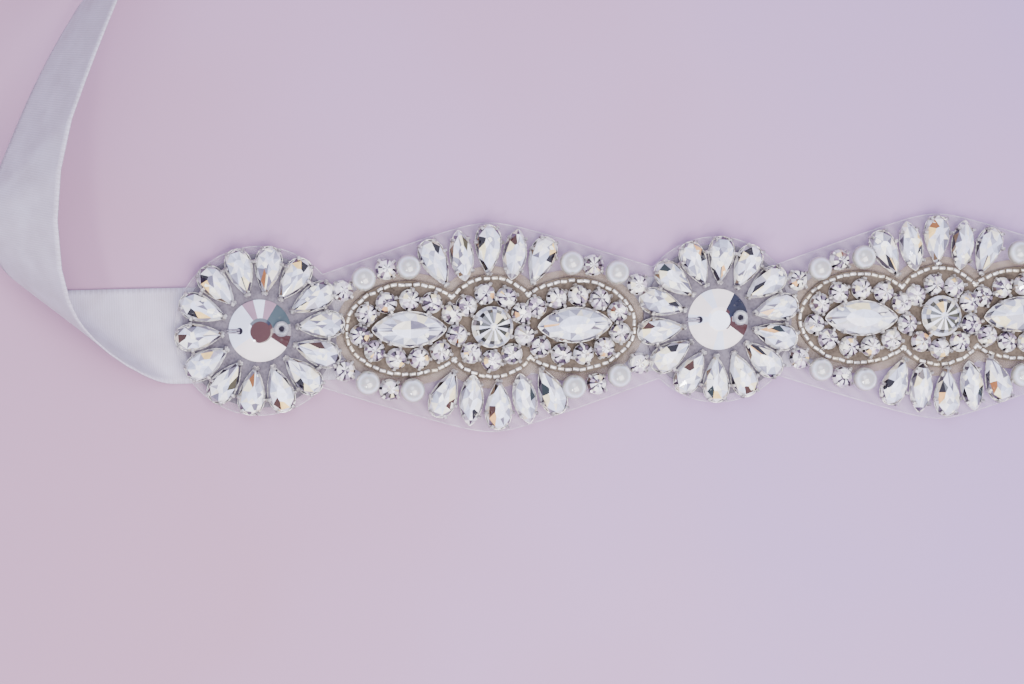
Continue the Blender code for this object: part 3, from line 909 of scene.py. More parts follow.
def crystal_material(name, tables, slivers, accents, sparkle):
    """Foiled glass with painted reflections: a tone for each facet, one strong accent, one glow for each
    stone and painted glints.
    """
    made, tree, shader = new_material(name, Roughness=0.06, IOR=1.55, Coat_Weight=0.6, Coat_Roughness=0.02)
    facet, spark, zone, wedge = [
        add_node(tree, "ShaderNodeAttribute", attribute_name=label).outputs["Fac"]
        for label in ("facet", "spark", "zone", "wedge")]
    draw = drawn_from(tree, spark, times=37.0, plus=facet)
    in_sliver = add_node(tree, "ShaderNodeMath", {0: zone, 1: CROWN_ZONE}, operation="SUBTRACT",
                         use_clamp=True)
    tone = toned(tree, draw, tables)
    tone = toned(tree, draw, CROWN_TONES, zone, tone)
    tone = toned(tree, draw, slivers, in_sliver.outputs[0], tone)
    picked = drawn_from(tree, spark, times=91.0, plus=0.3)
    beside = add_node(tree, "ShaderNodeMath", {0: picked, 1: 2 * WEDGE_HALF}, operation="ADD")
    around = add_node(tree, "ShaderNodeMath", {0: beside.outputs[0]}, operation="FRACT")
    for place, kinds, seed, weight in ((around.outputs[0], GLOW_TONES, 0.7, 1.0),
                                       (picked, ACCENT_TONES, 0.1, accents)):
        here = add_node(tree, "ShaderNodeMath", {0: wedge, 1: place, 2: WEDGE_HALF}, operation="COMPARE")
        part = add_node(tree, "ShaderNodeMath", {0: here.outputs[0], 1: weight}, operation="MULTIPLY")
        other = drawn_from(tree, spark, times=53.0, plus=seed)
        tone = toned(tree, other, kinds, part.outputs[0], tone)
    # Cells 1.3 mm wide dim each tone a little, as painted inner reflection, and a few turn cream-white as
    # painted glints.
    place = add_node(tree, "ShaderNodeTexCoord")
    inner = add_node(tree, "ShaderNodeTexVoronoi", {
        "Vector": place.outputs["Object"], "Scale": per_metre(SPARKLE_PITCH)})
    cell = add_node(tree, "ShaderNodeSeparateXYZ", {"Vector": inner.outputs["Color"]})
    dim = add_node(tree, "ShaderNodeMapRange", {"Value": cell.outputs["X"], "To Min": 0.78, "To Max": 1.0})
    shaded = add_node(tree, "ShaderNodeVectorMath", {0: tone, "Scale": dim.outputs[0]}, operation="SCALE")
    flash = add_node(tree, "ShaderNodeMath", {0: cell.outputs["Y"], 1: 1.0 - sparkle},
                     operation="GREATER_THAN")
    lit = add_node(tree, "ShaderNodeMix", {
        "Factor": flash.outputs[0], "A": shaded.outputs["Vector"], "B": colour(SPARKLE_TINT)},
        data_type="RGBA")
    tree.links.new(lit.outputs["Result"], shader.inputs["Base Color"])
    print(name, "nodes:", len(tree.nodes))
    return made


# Pressed and polished glass with a foil behind it: painted reflections in hard-edged patches of
# white, lilac and near black, some cream and amber, under a clear gloss. Scraps of painted inner
# reflection and painted glints are 1.3 mm wide.
crystal = crystal_material("foiled_crystal_glass", TABLE_TONES, SLIVER_TONES, 1.0, 0.07)
pale_crystal = crystal_material("foiled_crystal_glass_pale", TABLE_TONES, SLIVER_TONES, 0.0, 0.04)
deep_crystal = crystal_material("foiled_crystal_glass_deep", TABLE_TONES, DARK_SLIVERS, 0.0, 0.04)
small_crystal = crystal_material("foiled_crystal_glass_small", LILAC_TONES, SLIVER_TONES, 0.5, 0.05)
# Brass that was stamped, tumbled and silver-plated: a soft silver line, not a mirror. Its tumbling
# marks are finer than a pixel, so they are drawn as patches 1.1 mm wide.
plated = mottled("silver_plated_brass", "989290", "F6F3F2", 1.11, Metallic=1.0, Roughness=0.4)

# %% [markdown]
# ## Sewing the stones on
# Some 160 stones and pearls are sewn on one by one, and no two sit quite alike. Placing each one
# would take pages, so a node tree puts one stone on every point of a row, turned as the row says,
# with the small unevenness of hand sewing, and gives each its own number for the tones. The same
# tree, with the same seed, puts the settings under them.

# %% Helpers for node trees


def new_tree(name, inputs):
    """A node tree with named inputs; gives the tree, its two ends and the input ids."""
    tree = bpy.data.node_groups.new(name, "GeometryNodeTree")
    tree.interface.new_socket("Geometry", in_out="INPUT", socket_type="NodeSocketGeometry")
    ids = {}
    for label, kind, value in inputs:
        socket = tree.interface.new_socket(label, in_out="INPUT", socket_type=kind)
        if value is not None:
            socket.default_value = value
        ids[label] = socket.identifier
    tree.interface.new_socket("Geometry", in_out="OUTPUT", socket_type="NodeSocketGeometry")
    return tree, tree.nodes.new("NodeGroupInput"), tree.nodes.new("NodeGroupOutput"), ids


def close_tree(tree, start, end, copies):
    """Gives every copy its own number, makes the copies real and sets their finish."""
    number = add_node(tree, "FunctionNodeRandomValue", {"Seed": start.outputs["Seed"]}, data_type="FLOAT")
    marked = add_node(tree, "GeometryNodeStoreNamedAttribute", {
        "Geometry": copies.outputs["Instances"], "Name": "spark", "Value": number.outputs[1]},
        data_type="FLOAT", domain="INSTANCE")
    real = add_node(tree, "GeometryNodeRealizeInstances", {"Geometry": marked.outputs["Geometry"]})
    finished = add_node(tree, "GeometryNodeSetMaterial", {
        "Geometry": real.outputs["Geometry"], "Material": start.outputs["Finish"]})
    tree.links.new(finished.outputs["Geometry"], end.inputs["Geometry"])
    print(tree.name, "nodes:", len(tree.nodes))


# %% The sewing tree
SEWING_TILT = 0.05

sewing, start, end, SEWING_IDS = new_tree("sew_on_stones", (
    ("Stone", "NodeSocketObject", None), ("Finish", "NodeSocketMaterial", None),
    ("Tilt", "NodeSocketFloat", SEWING_TILT), ("Seed", "NodeSocketInt", 1)))
stone_info = add_node(sewing, "GeometryNodeObjectInfo", {"Object": start.outputs["Stone"]})
turn = add_node(sewing, "GeometryNodeInputNamedAttribute", {"Name": "turn"}, data_type="FLOAT")
less = add_node(sewing, "ShaderNodeMath", {0: start.outputs["Tilt"], 1: -1.0}, operation="MULTIPLY")
uneven = add_node(sewing, "FunctionNodeRandomValue", {
    "Min": less.outputs[0], "Max": start.outputs["Tilt"], "Seed": start.outputs["Seed"]},
    data_type="FLOAT_VECTOR")
straight = add_node(sewing, "ShaderNodeCombineXYZ", {"Z": turn.outputs["Attribute"]})
lean = add_node(sewing, "ShaderNodeVectorMath", {0: straight.outputs[0], 1: uneven.outputs["Value"]},
                operation="ADD")
rotation = add_node(sewing, "FunctionNodeEulerToRotation", {"Euler": lean.outputs[0]})
placed = add_node(sewing, "GeometryNodeInstanceOnPoints", {
    "Points": start.outputs["Geometry"], "Instance": stone_info.outputs["Geometry"],
    "Rotation": rotation.outputs["Rotation"]})
close_tree(sewing, start, end, placed)


# %% Sewing a row
def run_tree(name, mesh, tree, values):
    """Runs a node tree on a mesh and gives back a plain object."""
    thing = link(name, mesh)
    maker = thing.modifiers.new("maker", "NODES")
    maker.node_group = tree
    for identifier, value in values.items():
        maker[identifier] = value
    return made_plain(thing, name)


def row_mesh(spots):
    """Points of a row: x, y, height and turn in degrees."""
    mesh = bpy.data.meshes.new("row")
    mesh.from_pydata([(x * MM, y * MM, z * MM) for x, y, z, degrees in spots], [], [])
    turns = mesh.attributes.new("turn", "FLOAT", "POINT")
    for index, spot in enumerate(spots):
        turns.data[index].value = math.radians(spot[3])
    return mesh


def sew(name, stone_mesh, spots, finish, seed, tilt=SEWING_TILT):
    """Sews copies of a stone on the spots, as one plain piece."""
    stone = link(name + "_stone", stone_mesh)
    piece = run_tree(name, row_mesh(spots), sewing, {
        SEWING_IDS["Stone"]: stone, SEWING_IDS["Finish"]: finish,
        SEWING_IDS["Tilt"]: tilt, SEWING_IDS["Seed"]: seed})
    bpy.data.objects.remove(stone, do_unlink=True)
    return piece


def joined(name, pieces):
    """Joins plain pieces into the first one."""
    with bpy.context.temp_override(active_object=pieces[0], selected_editable_objects=pieces):
        bpy.ops.object.join()
    pieces[0].name = name
    return pieces[0]


print("inputs of the sewing tree:", ", ".join(SEWING_IDS))

# %% [markdown]
# ## Daisies
# Fourteen pear stones stand in a ring with their tips inwards, round a flat-back stone with two
# sewing holes. Under them lies a ring of net that is stiff with clear glue, which shows between
# the stones as a dull grey, partly its own colour and partly painted shade from the stones. It
# could be part of the net sheet, but it has its own colour and thickness, so it is a plate of its
# own. The ring is a circle, so the spots come from one formula.

# %% Sewn ground
GROUND_Z = 2.6
GROUND_THICK = 0.7
STONE_BASE_Z = GROUND_Z + 0.3
DAISY_GROUND = (7.8, 20.4)
GLUE_CLOUD = 3.125
NET_MESH = 0.714


def washer_mesh(name, centre, inner, outer, low, thick, sides=64):
    """A flat ring with square edges."""
    shape = bmesh.new()
    rings = []
    for radius, z in ((inner, low), (outer, low), (outer, low + thick), (inner, low + thick)):
        rings.append([shape.verts.new((centre[0] + radius * a, centre[1] + radius * b, z))
                      for a, b in circle(sides)])
    bridge(shape, rings, again=True, smooth=False)
    return finished_mesh(name, shape)


def ground_material(name, dark, light, **settings):
    """Coarse stiffened net, soaked with clear glue, with the grain of its threads."""
    made, tree, shader = new_material(name, Roughness=0.8, Specular_IOR_Level=0.2, **settings)
    place = add_node(tree, "ShaderNodeTexCoord")
    cloud = add_node(tree, "ShaderNodeTexNoise", {
        "Vector": place.outputs["Object"], "Scale": per_metre(GLUE_CLOUD), "Detail": 5.0})
    weave = add_node(tree, "ShaderNodeTexVoronoi", {
        "Vector": place.outputs["Object"], "Scale": per_metre(NET_MESH)})
    mixed = add_node(tree, "ShaderNodeMath", {0: weave.outputs["Distance"], 1: 0.3, 2: cloud.outputs["Fac"]},
                     operation="MULTIPLY_ADD")
    dyed(tree, shader, mixed.outputs[0], [(0.35, dark), (0.75, light)])
    bump = add_node(tree, "ShaderNodeBump", {"Height": weave.outputs["Distance"], "Distance": 0.1 * MM})
    tree.links.new(bump.outputs["Normal"], shader.inputs["Normal"])
    return made


# Net under glue, dried to a skin: matt, with a fine grain, and dark grey between the stones,
# partly its own colour and partly painted shade from them.
daisy_ground = ground_material("glued_net_grey_and_shade", "4A444E", "706A76")
for number, spot in enumerate(DAISIES, 1):
    name = "daisy_%d_ground" % number
    mesh = washer_mesh(name, (spot * PITCH, DAISY_Y), *DAISY_GROUND, GROUND_Z, GROUND_THICK)
    adopt(link(name, mesh, daisy_ground), "organza")

# %% Petals
PETALS = 14
PETAL_FIRST_TURNS = (4.0, 9.0, 6.0)
PETAL_SIZE = (13.0, 7.2, 4.4)
PETAL_RADIUS = 16.0
PEAR_FOCUS = (-1.8, 0.0)
PEAR_SIDES = 10
PEAR_LEVELS = ((1.0, 0.36, 1.0, 2.0), (0.84, 0.76, 0.12, 2.0), (0.38, 1.0, 0.0, 0.0))
PEAR_CLAWS = (0.30, 0.42, 0.58, 0.70, 0.06, 0.94)

pear_stone = cut_stone("pear_stone", pear_point, PETAL_SIZE, PEAR_SIDES, PEAR_LEVELS, focus=PEAR_FOCUS,
                       table=2, seed=4)
pear_cup = setting("pear_cup", pear_point, PETAL_SIZE, PEAR_CLAWS)


def daisy_spots(centre_x, first_turn):
    """Where the petals of one daisy stand."""
    spots = []
    for petal in range(PETALS):
        degrees = first_turn + 360.0 * petal / PETALS
        x = centre_x + PETAL_RADIUS * math.cos(math.radians(degrees))
        y = DAISY_Y + PETAL_RADIUS * math.sin(math.radians(degrees))
        spots.append((x, y, STONE_BASE_Z, degrees + 180.0))
    return spots


for number, (spot, first_turn) in enumerate(zip(DAISIES, PETAL_FIRST_TURNS), 1):
    spots = daisy_spots(spot * PITCH, first_turn)
    petals = sew("daisy_%d_crystals" % number, pear_stone, spots, crystal, seed=10 + number)
    adopt(petals, "crystal", "daisy_%d_petals" % number)
    adopt(sew("daisy_%d_settings" % number, pear_cup, spots, plated, seed=10 + number), "setting")

# %% [markdown]
# ## Flat-back centre stone
# The centre is a mirror-backed disc with a round table and sixteen broad facets, drilled near both
# sides. It is nearly a mirror, so each facet shows one patch of the room, and a neighbour can show a
# quite different one. A real mirror would need that room built round the belt. Instead, words in a
# short table say what each facet shows, from the right and round to the left, first for the facets
# and then for the rim of the table and the table.

# %% Facets of the centre stone
CENTRE_DIAMETER = 16.5
CENTRE_HEIGHT = 3.8
CENTRE_Z = GROUND_Z + 0.05
CENTRE_FACETS = 16
GIRDLE_STEPS = 4
GIRDLE_RISE = 0.26
TABLE_SHARE = 0.40
TABLE_EDGE_RISE = 0.97
TABLE_RIM_SHARE = 0.33
TABLE_SHIFT = -0.3
CENTRE_PROFILE = (
    (0.95, 0.0), (1.0, 0.18), (1.0, GIRDLE_RISE), (TABLE_SHARE, TABLE_EDGE_RISE), (TABLE_RIM_SHARE, 1.0),
)
TONE_PLACES = {"cream": 0.05, "blue": 0.2, "mauve": 0.35, "teal": 0.5, "red": 0.65, "navy": 0.8, "grey": 0.95}
CENTRE_TONES = (
    ("grey teal teal mauve blue mauve blue blue blue blue cream cream cream cream cream red",
     "red red navy navy navy navy navy blue blue blue blue red red red red red", "red"),
    ("grey navy navy cream cream blue cream cream blue cream cream cream blue cream cream red",
     "red navy red cream cream cream cream blue blue blue cream cream cream cream red red", "blue"),
    ("grey blue mauve cream blue mauve cream blue cream cream blue cream cream mauve blue teal",
     "navy blue blue cream cream cream cream blue blue blue cream cream cream cream mauve navy", "cream"),
)


def centre_mesh(name, words, rim_words, table_word):
    """A flat-back stone with its facets, the rim of its table and its table."""
    shape = bmesh.new()
    number = shape.faces.layers.float.new("facet")
    around = CENTRE_FACETS * GIRDLE_STEPS
    rings = []
    for share, rise in CENTRE_PROFILE:
        out = share * CENTRE_DIAMETER / 2
        shift = TABLE_SHIFT if share == TABLE_RIM_SHARE else 0.0
        rings.append([shape.verts.new((out * a, out * b + shift, rise * CENTRE_HEIGHT))
                      for a, b in circle(around, -GIRDLE_STEPS / 2)])
    girdle = ["grey"] * CENTRE_FACETS
    belts = [girdle, girdle, words.split(), rim_words.split()]
    for place, face in enumerate(bridge(shape, rings, smooth=False)):
        belt, step = divmod(place, around)
        face[number] = TONE_PLACES[belts[belt][step // GIRDLE_STEPS]]
    cap(shape, rings)
    shape.faces.ensure_lookup_table()
    shape.faces[-1][number] = TONE_PLACES[table_word]
    return finished_mesh(name, shape)


print("broad facets of a centre stone:", CENTRE_FACETS)


# %% Centre stones
# Glass with a vacuum mirror behind it, cut in broad flats: each facet is one even patch of painted
# reflection in white, sky blue, mauve, teal, red or navy with a hard edge, and only its brightness
# drifts a little.
MIRROR_DRIFT = 6.67

mirror, tree, shader = new_material("mirror_backed_crystal", Roughness=0.12, IOR=1.55, Coat_Weight=0.3)
facet = add_node(tree, "ShaderNodeAttribute", attribute_name="facet")
tone = add_node(tree, "ShaderNodeValToRGB", {"Fac": facet.outputs["Fac"]})
ramp_stops(tone, [(0.0, "F4EAEE"), (0.12, "E0E6FF"), (0.27, "9A7C92"), (0.42, "41505A"), (0.57, "43262B"),
                  (0.72, "1C2038"), (0.87, "8E8892")], constant=True)
place = add_node(tree, "ShaderNodeTexCoord")
cloud = add_node(tree, "ShaderNodeTexNoise", {
    "Vector": place.outputs["Object"], "Scale": per_metre(MIRROR_DRIFT)})
dim = add_node(tree, "ShaderNodeMapRange", {
    "Value": cloud.outputs["Fac"], "From Min": 0.3, "From Max": 0.7, "To Min": 0.9, "To Max": 1.05})
shaded = add_node(tree, "ShaderNodeVectorMath", {0: tone.outputs["Color"], "Scale": dim.outputs[0]},
                  operation="SCALE")
tree.links.new(shaded.outputs["Vector"], shader.inputs["Base Color"])

for number, (spot, tones) in enumerate(zip(DAISIES, CENTRE_TONES), 1):
    name = "daisy_%d_mirror_stone" % number
    stone = moved(centre_mesh(name, *tones), spot * PITCH, DAISY_Y, CENTRE_Z)
    adopt(link(name, stone, mirror), "mirror_crystal", "daisy_%d_centre" % number)

# %% [markdown]
# ## How the centre stone is sewn on
# Thread comes up through the left hole and goes down over the rim. On the right it goes through a
# clear seed bead, which sits over the hole like a washer. Cutting true holes would spoil the
# facets round them, so a dark plug of painted shade stands for the mouth of the hole and another
# for the bore in the bead. The two give the stone its scale.

# %% Shapes of the drilled hole and the seed bead
HOLE_X = 5.4
HOLE_RADIUS = 0.9
HOLE_PLUG = 0.12
HOLE_PROUD = 0.02
HOLE_LEAN = -27.0
SEED_WIDTH, SEED_TALL, SEED_BORE = 4.2, 2.2, 1.3
BORE_SHARE = 0.7


def crown_height(off):
    """Height of the centre stone's crown, off millimetres from its middle."""
    share = off / (CENTRE_DIAMETER / 2)
    part = max(0.0, min(1.0, (share - TABLE_SHARE) / (1.0 - TABLE_SHARE)))
    return CENTRE_HEIGHT * (TABLE_EDGE_RISE + (GIRDLE_RISE - TABLE_EDGE_RISE) * part)


def ring_mesh(name, radius, pipe, tall, around=24, sides=10):
    """A torus, flattened or drawn out to the given height."""
    shape = bmesh.new()
    rings = []
    for a, b in circle(around):
        rings.append([shape.verts.new(((radius + pipe * c) * a, (radius + pipe * c) * b, tall / 2 * d))
                      for c, d in circle(sides)])
    bridge(shape, rings, again=True)
    return finished_mesh(name, shape)


def disc_mesh(name, radius, thick, sides=20):
    """A thin round plug."""
    shape = bmesh.new()
    bmesh.ops.create_cone(shape, cap_ends=True, segments=sides, radius1=radius, radius2=radius, depth=thick)
    return finished_mesh(name, shape, outwards=False)


print("crown over the drilled hole in mm: %.2f" % crown_height(HOLE_X))

# %% Drilled hole, thread and seed bead
THREAD_RADIUS = 0.24
THREAD_GAP = 0.34
THREAD_AT_HOLE = ((0.0, 0.2, -0.2), (0.25, THREAD_GAP, 0.24))
THREAD_OVER_CROWN = (6.2, 7.0, 7.8)
THREAD_LIFT = 0.2
THREAD_DOWN = ((8.5, 1.1), (8.75, 0.2))
SEED_SHIFT = (0.2, 0.3)
SEED_SEAT = 0.42

# Clear drawn glass, fire-polished: half see-through, with a wet gloss and a drift 2 mm wide.
clear_glass = mottled("clear_seed_bead_glass", "8E8E9C", "C8C8D4", 2.0, Roughness=0.04, IOR=1.52,
                      Alpha=0.6, Coat_Weight=1.0, Coat_Roughness=0.01)
# The inside of a narrow bore, ground and not polished: nearly black, since no light comes back.
hole_shade = mottled("shadow_in_drilled_hole", "16141E", "2C2834", 1.11, Roughness=0.8,
                     Specular_IOR_Level=0.1)
# Twisted nylon: a mid grey with a slight gloss. Its twist is too fine to show, so the shade
# drifts in patches 0.83 mm wide.
sewing_thread = mottled("nylon_sewing_thread", "6E6678", "A8A0B2", 0.833, Roughness=0.4)


def strand_path(x, way):
    """One strand: up through the hole at x, over the crown and down beside the rim."""
    height = CENTRE_Z + crown_height(HOLE_X)
    beside = DAISY_Y + way * THREAD_GAP
    path = [(x - HOLE_X - past, DAISY_Y + way * gap, height + rise) for past, gap, rise in THREAD_AT_HOLE]
    path += [(x - off, beside, CENTRE_Z + crown_height(off) + THREAD_LIFT) for off in THREAD_OVER_CROWN]
    path += [(x - off, beside, CENTRE_Z + rise) for off, rise in THREAD_DOWN]
    return path


for number, spot in enumerate(DAISIES, 1):
    x = spot * PITCH
    stem = "daisy_%d_" % number
    height = CENTRE_Z + crown_height(HOLE_X)
    lean_left = Matrix.Rotation(math.radians(HOLE_LEAN), 4, "Y")
    # A dark disc of painted shade stands for the mouth of the drilled hole.
    plug = disc_mesh("hole", HOLE_RADIUS, HOLE_PLUG)
    moved(plug, x - HOLE_X, DAISY_Y, height + HOLE_PROUD, lean_left)
    adopt(link(stem + "drilled_hole", plug, hole_shade), "mirror_crystal")
    strands = []
    for way in (1, -1):
        strand = thread_mesh("thread", strand_path(x, way), THREAD_RADIUS, sides=6)
        strands.append(link("strand", strand, sewing_thread))
    adopt(joined(stem + "thread", strands), "thread")
    pipe = (SEED_WIDTH - SEED_BORE) / 4
    bead_place = (x + HOLE_X + SEED_SHIFT[0], DAISY_Y + SEED_SHIFT[1], height + SEED_TALL * SEED_SEAT)
    seed = moved(ring_mesh("seed", SEED_BORE / 2 + pipe, pipe, SEED_TALL), *bead_place)
    adopt(link(stem + "seed_bead", seed, clear_glass), "silver_bead")
    # Another dark disc of painted shade stands for the bore of the seed bead.
    bore = moved(disc_mesh("bore", SEED_BORE / 2, SEED_TALL * BORE_SHARE), *bead_place)
    adopt(link(stem + "bead_bore", bore, hole_shade), "thread")

# %% [markdown]
# ## Ground of the medallions
# The stones of a medallion are sewn through a taupe patch of net that is soaked with glue, its
# dark colour partly painted shade from the stones, and the glue spreads a little past it as a pale,
# half-clear rim. Both have the same lobed outline: two side ovals and a middle circle as one.
# Joining three plates would leave faces inside, so a ray from the middle finds how far the outline
# reaches at each angle.

# %% Lobed plates
OVAL_X = 22.3
LOBE_GROUND_HALF = (17.5, 12.9)
LOBE_GROUND_RADIUS = 14.1
GLUE_HALF = (19.6, 15.0)
GLUE_RADIUS = 16.4
GLUE_Z, GLUE_THICK = 2.25, 0.2
LOBE_POINTS = 160


def lobed_outline(x, half, radius):
    """Outline of two side ovals and a middle circle as one."""
    points = []
    for out in circle(LOBE_POINTS):
        far = radius
        for side in (-OVAL_X, OVAL_X):
            a = (out[0] / half[0]) ** 2 + (out[1] / half[1]) ** 2
            b = -2 * out[0] * side / half[0] ** 2
            c = (side / half[0]) ** 2 - 1
            inside = b * b - 4 * a * c
            if inside > 0:
                far = max(far, (-b + math.sqrt(inside)) / (2 * a))
        points.append((x + far * out[0], far * out[1]))
    return points


def lobed_mesh(name, x, half, radius, low, thick):
    """A plate with the lobed outline, in a fan of triangles round its middle."""
    shape = bmesh.new()
    levels = (low, low + thick)
    rings = [[shape.verts.new((a, b, z)) for a, b in lobed_outline(x, half, radius)] for z in levels]
    bridge(shape, rings, smooth=False)
    for ring, z in zip(rings, levels):
        centre = shape.verts.new((x, 0.0, z))
        for first, after in zip(ring, ring[1:] + ring[:1]):
            shape.faces.new((first, after, centre))
    return finished_mesh(name, shape)


# The same glued net as under the daisies, dyed taupe and darkened with painted shade from the
# stones: a warm dark tone that sets the stones off.
medallion_ground = ground_material("glued_net_taupe_and_shade", "3F3731", "62574E")
# Clear glue that has crept into the net and dried: a faint beige stain with the net's grain.
glue_rim = ground_material("clear_glue_in_net", "8A7868", "A8988A", Alpha=0.4)
for number, spot in enumerate(MEDALLIONS, 1):
    x = spot * PITCH
    for part, half, radius, low, thick, finish in (
            ("ground", LOBE_GROUND_HALF, LOBE_GROUND_RADIUS, GROUND_Z, GROUND_THICK, medallion_ground),
            ("glue", GLUE_HALF, GLUE_RADIUS, GLUE_Z, GLUE_THICK, glue_rim)):
        name = "medallion_%d_%s" % (number, part)
        adopt(link(name, lobed_mesh(name, x, half, radius, low, thick), finish), "organza")

# %% [markdown]
# ## Rings of small stones
# Small round stones ring each marquise, and eight more ring the round stone between. The left oval
# has eleven and the right one ten, because the middle ring fills its last place. They could stand
# at equal angles, but would then crowd at the ends of the oval. Equal steps of length along the
# oval keep them evenly apart, as a beader spaces them.

# %% Small stones in rings
CHATON_SIZE = (5.6, 5.6, 3.7)
CHATON_LEVELS = ((1.0, 0.40, 0.6, 2.0), (0.80, 0.78, 0.2, 2.0), (0.40, 1.0, 0.7, 2.0))
OVAL_HALF = (13.2, 7.9)
OVAL_STEPS = 720
OVAL_ROWS = (
    (-1, 11, -1.4, 6.16),
    (1, 10, 6.1, 6.0),
)
RING_RADIUS = 8.9
RING_STONES = 8
RING_FIRST_TURN = -130.0
RING_STEP = 38.4
CHATON_TILT = 0.1
chaton_stone = cut_stone("chaton_stone", circle_point, CHATON_SIZE, 8, CHATON_LEVELS, sliver=0.38, seed=6)
chaton_cup = setting("chaton_cup", circle_point, CHATON_SIZE, (0.125, 0.375, 0.625, 0.875), around=20)


def oval_line(centre_x, half, stones, first, spacing):
    """Points at equal steps clockwise round an oval, from its left end."""
    points = []
    lengths = [0.0]
    for step in range(OVAL_STEPS + 1):
        turn = math.pi - 2 * math.pi * step / OVAL_STEPS
        points.append((centre_x + half[0] * math.cos(turn), half[1] * math.sin(turn)))
        if step:
            lengths.append(lengths[-1] + math.dist(points[-1], points[-2]))
    found = []
    for stone in range(stones):
        goal = (first + spacing * stone) % lengths[-1]
        found.append(points[next(i for i, length in enumerate(lengths) if length >= goal)])
    return found


def chaton_spots(x):
    """Spots of the small stones inside one medallion, each turned at random."""
    found = []
    for side, stones, first, spacing in OVAL_ROWS:
        found += oval_line(x + side * OVAL_X, OVAL_HALF, stones, first, spacing)
    for stone in range(RING_STONES):
        angle = math.radians(RING_FIRST_TURN + RING_STEP * stone)
        found.append((x + RING_RADIUS * math.cos(angle), RING_RADIUS * math.sin(angle)))
    draw = random.Random(int(x))
    return [(a, b, STONE_BASE_Z, draw.uniform(0, 90)) for a, b in found]


for number, spot in enumerate(MEDALLIONS, 1):
    spots = chaton_spots(spot * PITCH)
    stem = "medallion_%d_" % number
    chatons = sew(stem + "chatons", chaton_stone, spots, small_crystal, seed=40 + number, tilt=CHATON_TILT)
    adopt(chatons, "chaton", stem + "rings")
    cups = sew(stem + "chaton_settings", chaton_cup, spots, plated, seed=40 + number, tilt=CHATON_TILT)
    adopt(cups, "setting")

# %% [markdown]
# ## Large stones of the medallions
# Each side oval holds a marquise, a boat-shaped stone 20 mm long, and the ring between holds a
# round stone 11 mm wide whose facets run in to a small table like spokes. The same function cuts
# them as the small ones, with more levels and wider groups on the table, so they keep calm, bright
# tops. Their settings are joined into one piece.

# %% Large stones of the medallions
MARQUISE_SIZE = (20.0, 9.5, 4.6)
MARQUISE_LEVELS = ((1.0, 0.34, 0.9, 2.0), (0.88, 0.66, 0.3, 2.0), (0.5, 0.97, 0.0, 0.0))
MIDDLE_SIZE = (11.0, 11.0, 4.8)
MIDDLE_LEVELS = (
    (1.0, 0.36, 0.15, 0.4), (0.86, 0.62, 0.3, 2.0), (0.70, 0.84, 0.1, 2.0), (0.18, 1.0, 0.0, 0.0),
)
LARGE_Z = 3.7
MARQUISE_TURNS = (0.0, 3.0)
MIDDLE_TURN = 10.0
MARQUISE_TILT = 0.03
MIDDLE_TILT = 0.02
marquise_stone = cut_stone("marquise_stone", navette_point, MARQUISE_SIZE, 16, MARQUISE_LEVELS,
                           table=4, seed=12)
marquise_cup = setting("marquise_cup", navette_point, MARQUISE_SIZE, (0.16, 0.34, 0.66, 0.84), around=48)
middle_stone = cut_stone("middle_stone", circle_point, MIDDLE_SIZE, 11, MIDDLE_LEVELS, sliver=0.56, seed=14)
middle_cup = setting("middle_cup", circle_point, MIDDLE_SIZE, (0.11, 0.39, 0.61, 0.89), around=40)
for number, spot in enumerate(MEDALLIONS, 1):
    x = spot * PITCH
    stem = "medallion_%d_" % number
    sides = [(x + way * OVAL_X, 0.0, LARGE_Z, turned) for way, turned in zip((-1, 1), MARQUISE_TURNS)]
    centre = [(x, 0.0, LARGE_Z, MIDDLE_TURN)]
    boats = sew(stem + "marquises", marquise_stone, sides, pale_crystal, seed=50 + number,
                tilt=MARQUISE_TILT)
    adopt(boats, "crystal", stem + "marquise_left", stem + "marquise_right")
    middle = sew(stem + "round_stone", middle_stone, centre, deep_crystal, seed=60 + number,
                 tilt=MIDDLE_TILT)
    adopt(middle, "mirror_crystal", stem + "round")
    cups = joined(stem + "large_settings", [
        sew(stem + "boat_cups", marquise_cup, sides, plated, seed=50 + number, tilt=MARQUISE_TILT),
        sew(stem + "round_cup", middle_cup, centre, plated, seed=60 + number, tilt=MIDDLE_TILT)])
    adopt(cups, "setting")

# %% [markdown]
# ## Outer rows
# Above and below each medallion runs a row of pearls and small stones that grows into a fan of
# pears and boat-shaped stones at the middle. A list of every stone would hide that order. One
# short table gives half a row instead, and mirror images give the rest.

# %% Outer row stones
# A row of the table is the kind of stone, its place along and out from the middle, and its turn.
OUTER_ROW = (
    ("pear", 0.0, 20.6, 0.0),
    ("navette", 7.2, 19.3, 8.0),
    ("pear", 14.1, 17.3, 22.0),
    ("pearl", 21.9, 16.6, 0.0),
    ("chaton", 28.0, 16.0, 0.0),
    ("pearl", 34.0, 13.9, 0.0),
    ("chaton", 39.7, 10.6, 0.0),
)
ROW_PEAR_SIZE = (13.6, 7.2, 4.4)
NAVETTE_SIZE = (13.6, 6.4, 4.2)
NAVETTE_LEVELS = ((1.0, 0.36, 1.0, 2.0), (0.82, 0.78, 0.1, 2.0), (0.4, 1.0, 0.0, 0.0))
FAN_SHIFT = {1: -0.5, -1: 1.2}
row_pear = cut_stone("row_pear", pear_point, ROW_PEAR_SIZE, PEAR_SIDES, PEAR_LEVELS, focus=PEAR_FOCUS,
                     table=2, seed=21)
row_pear_cup = setting("row_pear_cup", pear_point, ROW_PEAR_SIZE, PEAR_CLAWS)
navette = cut_stone("navette", navette_point, NAVETTE_SIZE, 10, NAVETTE_LEVELS, table=2, seed=22)
navette_cup = setting("navette_cup", navette_point, NAVETTE_SIZE, (0.14, 0.36, 0.64, 0.86))


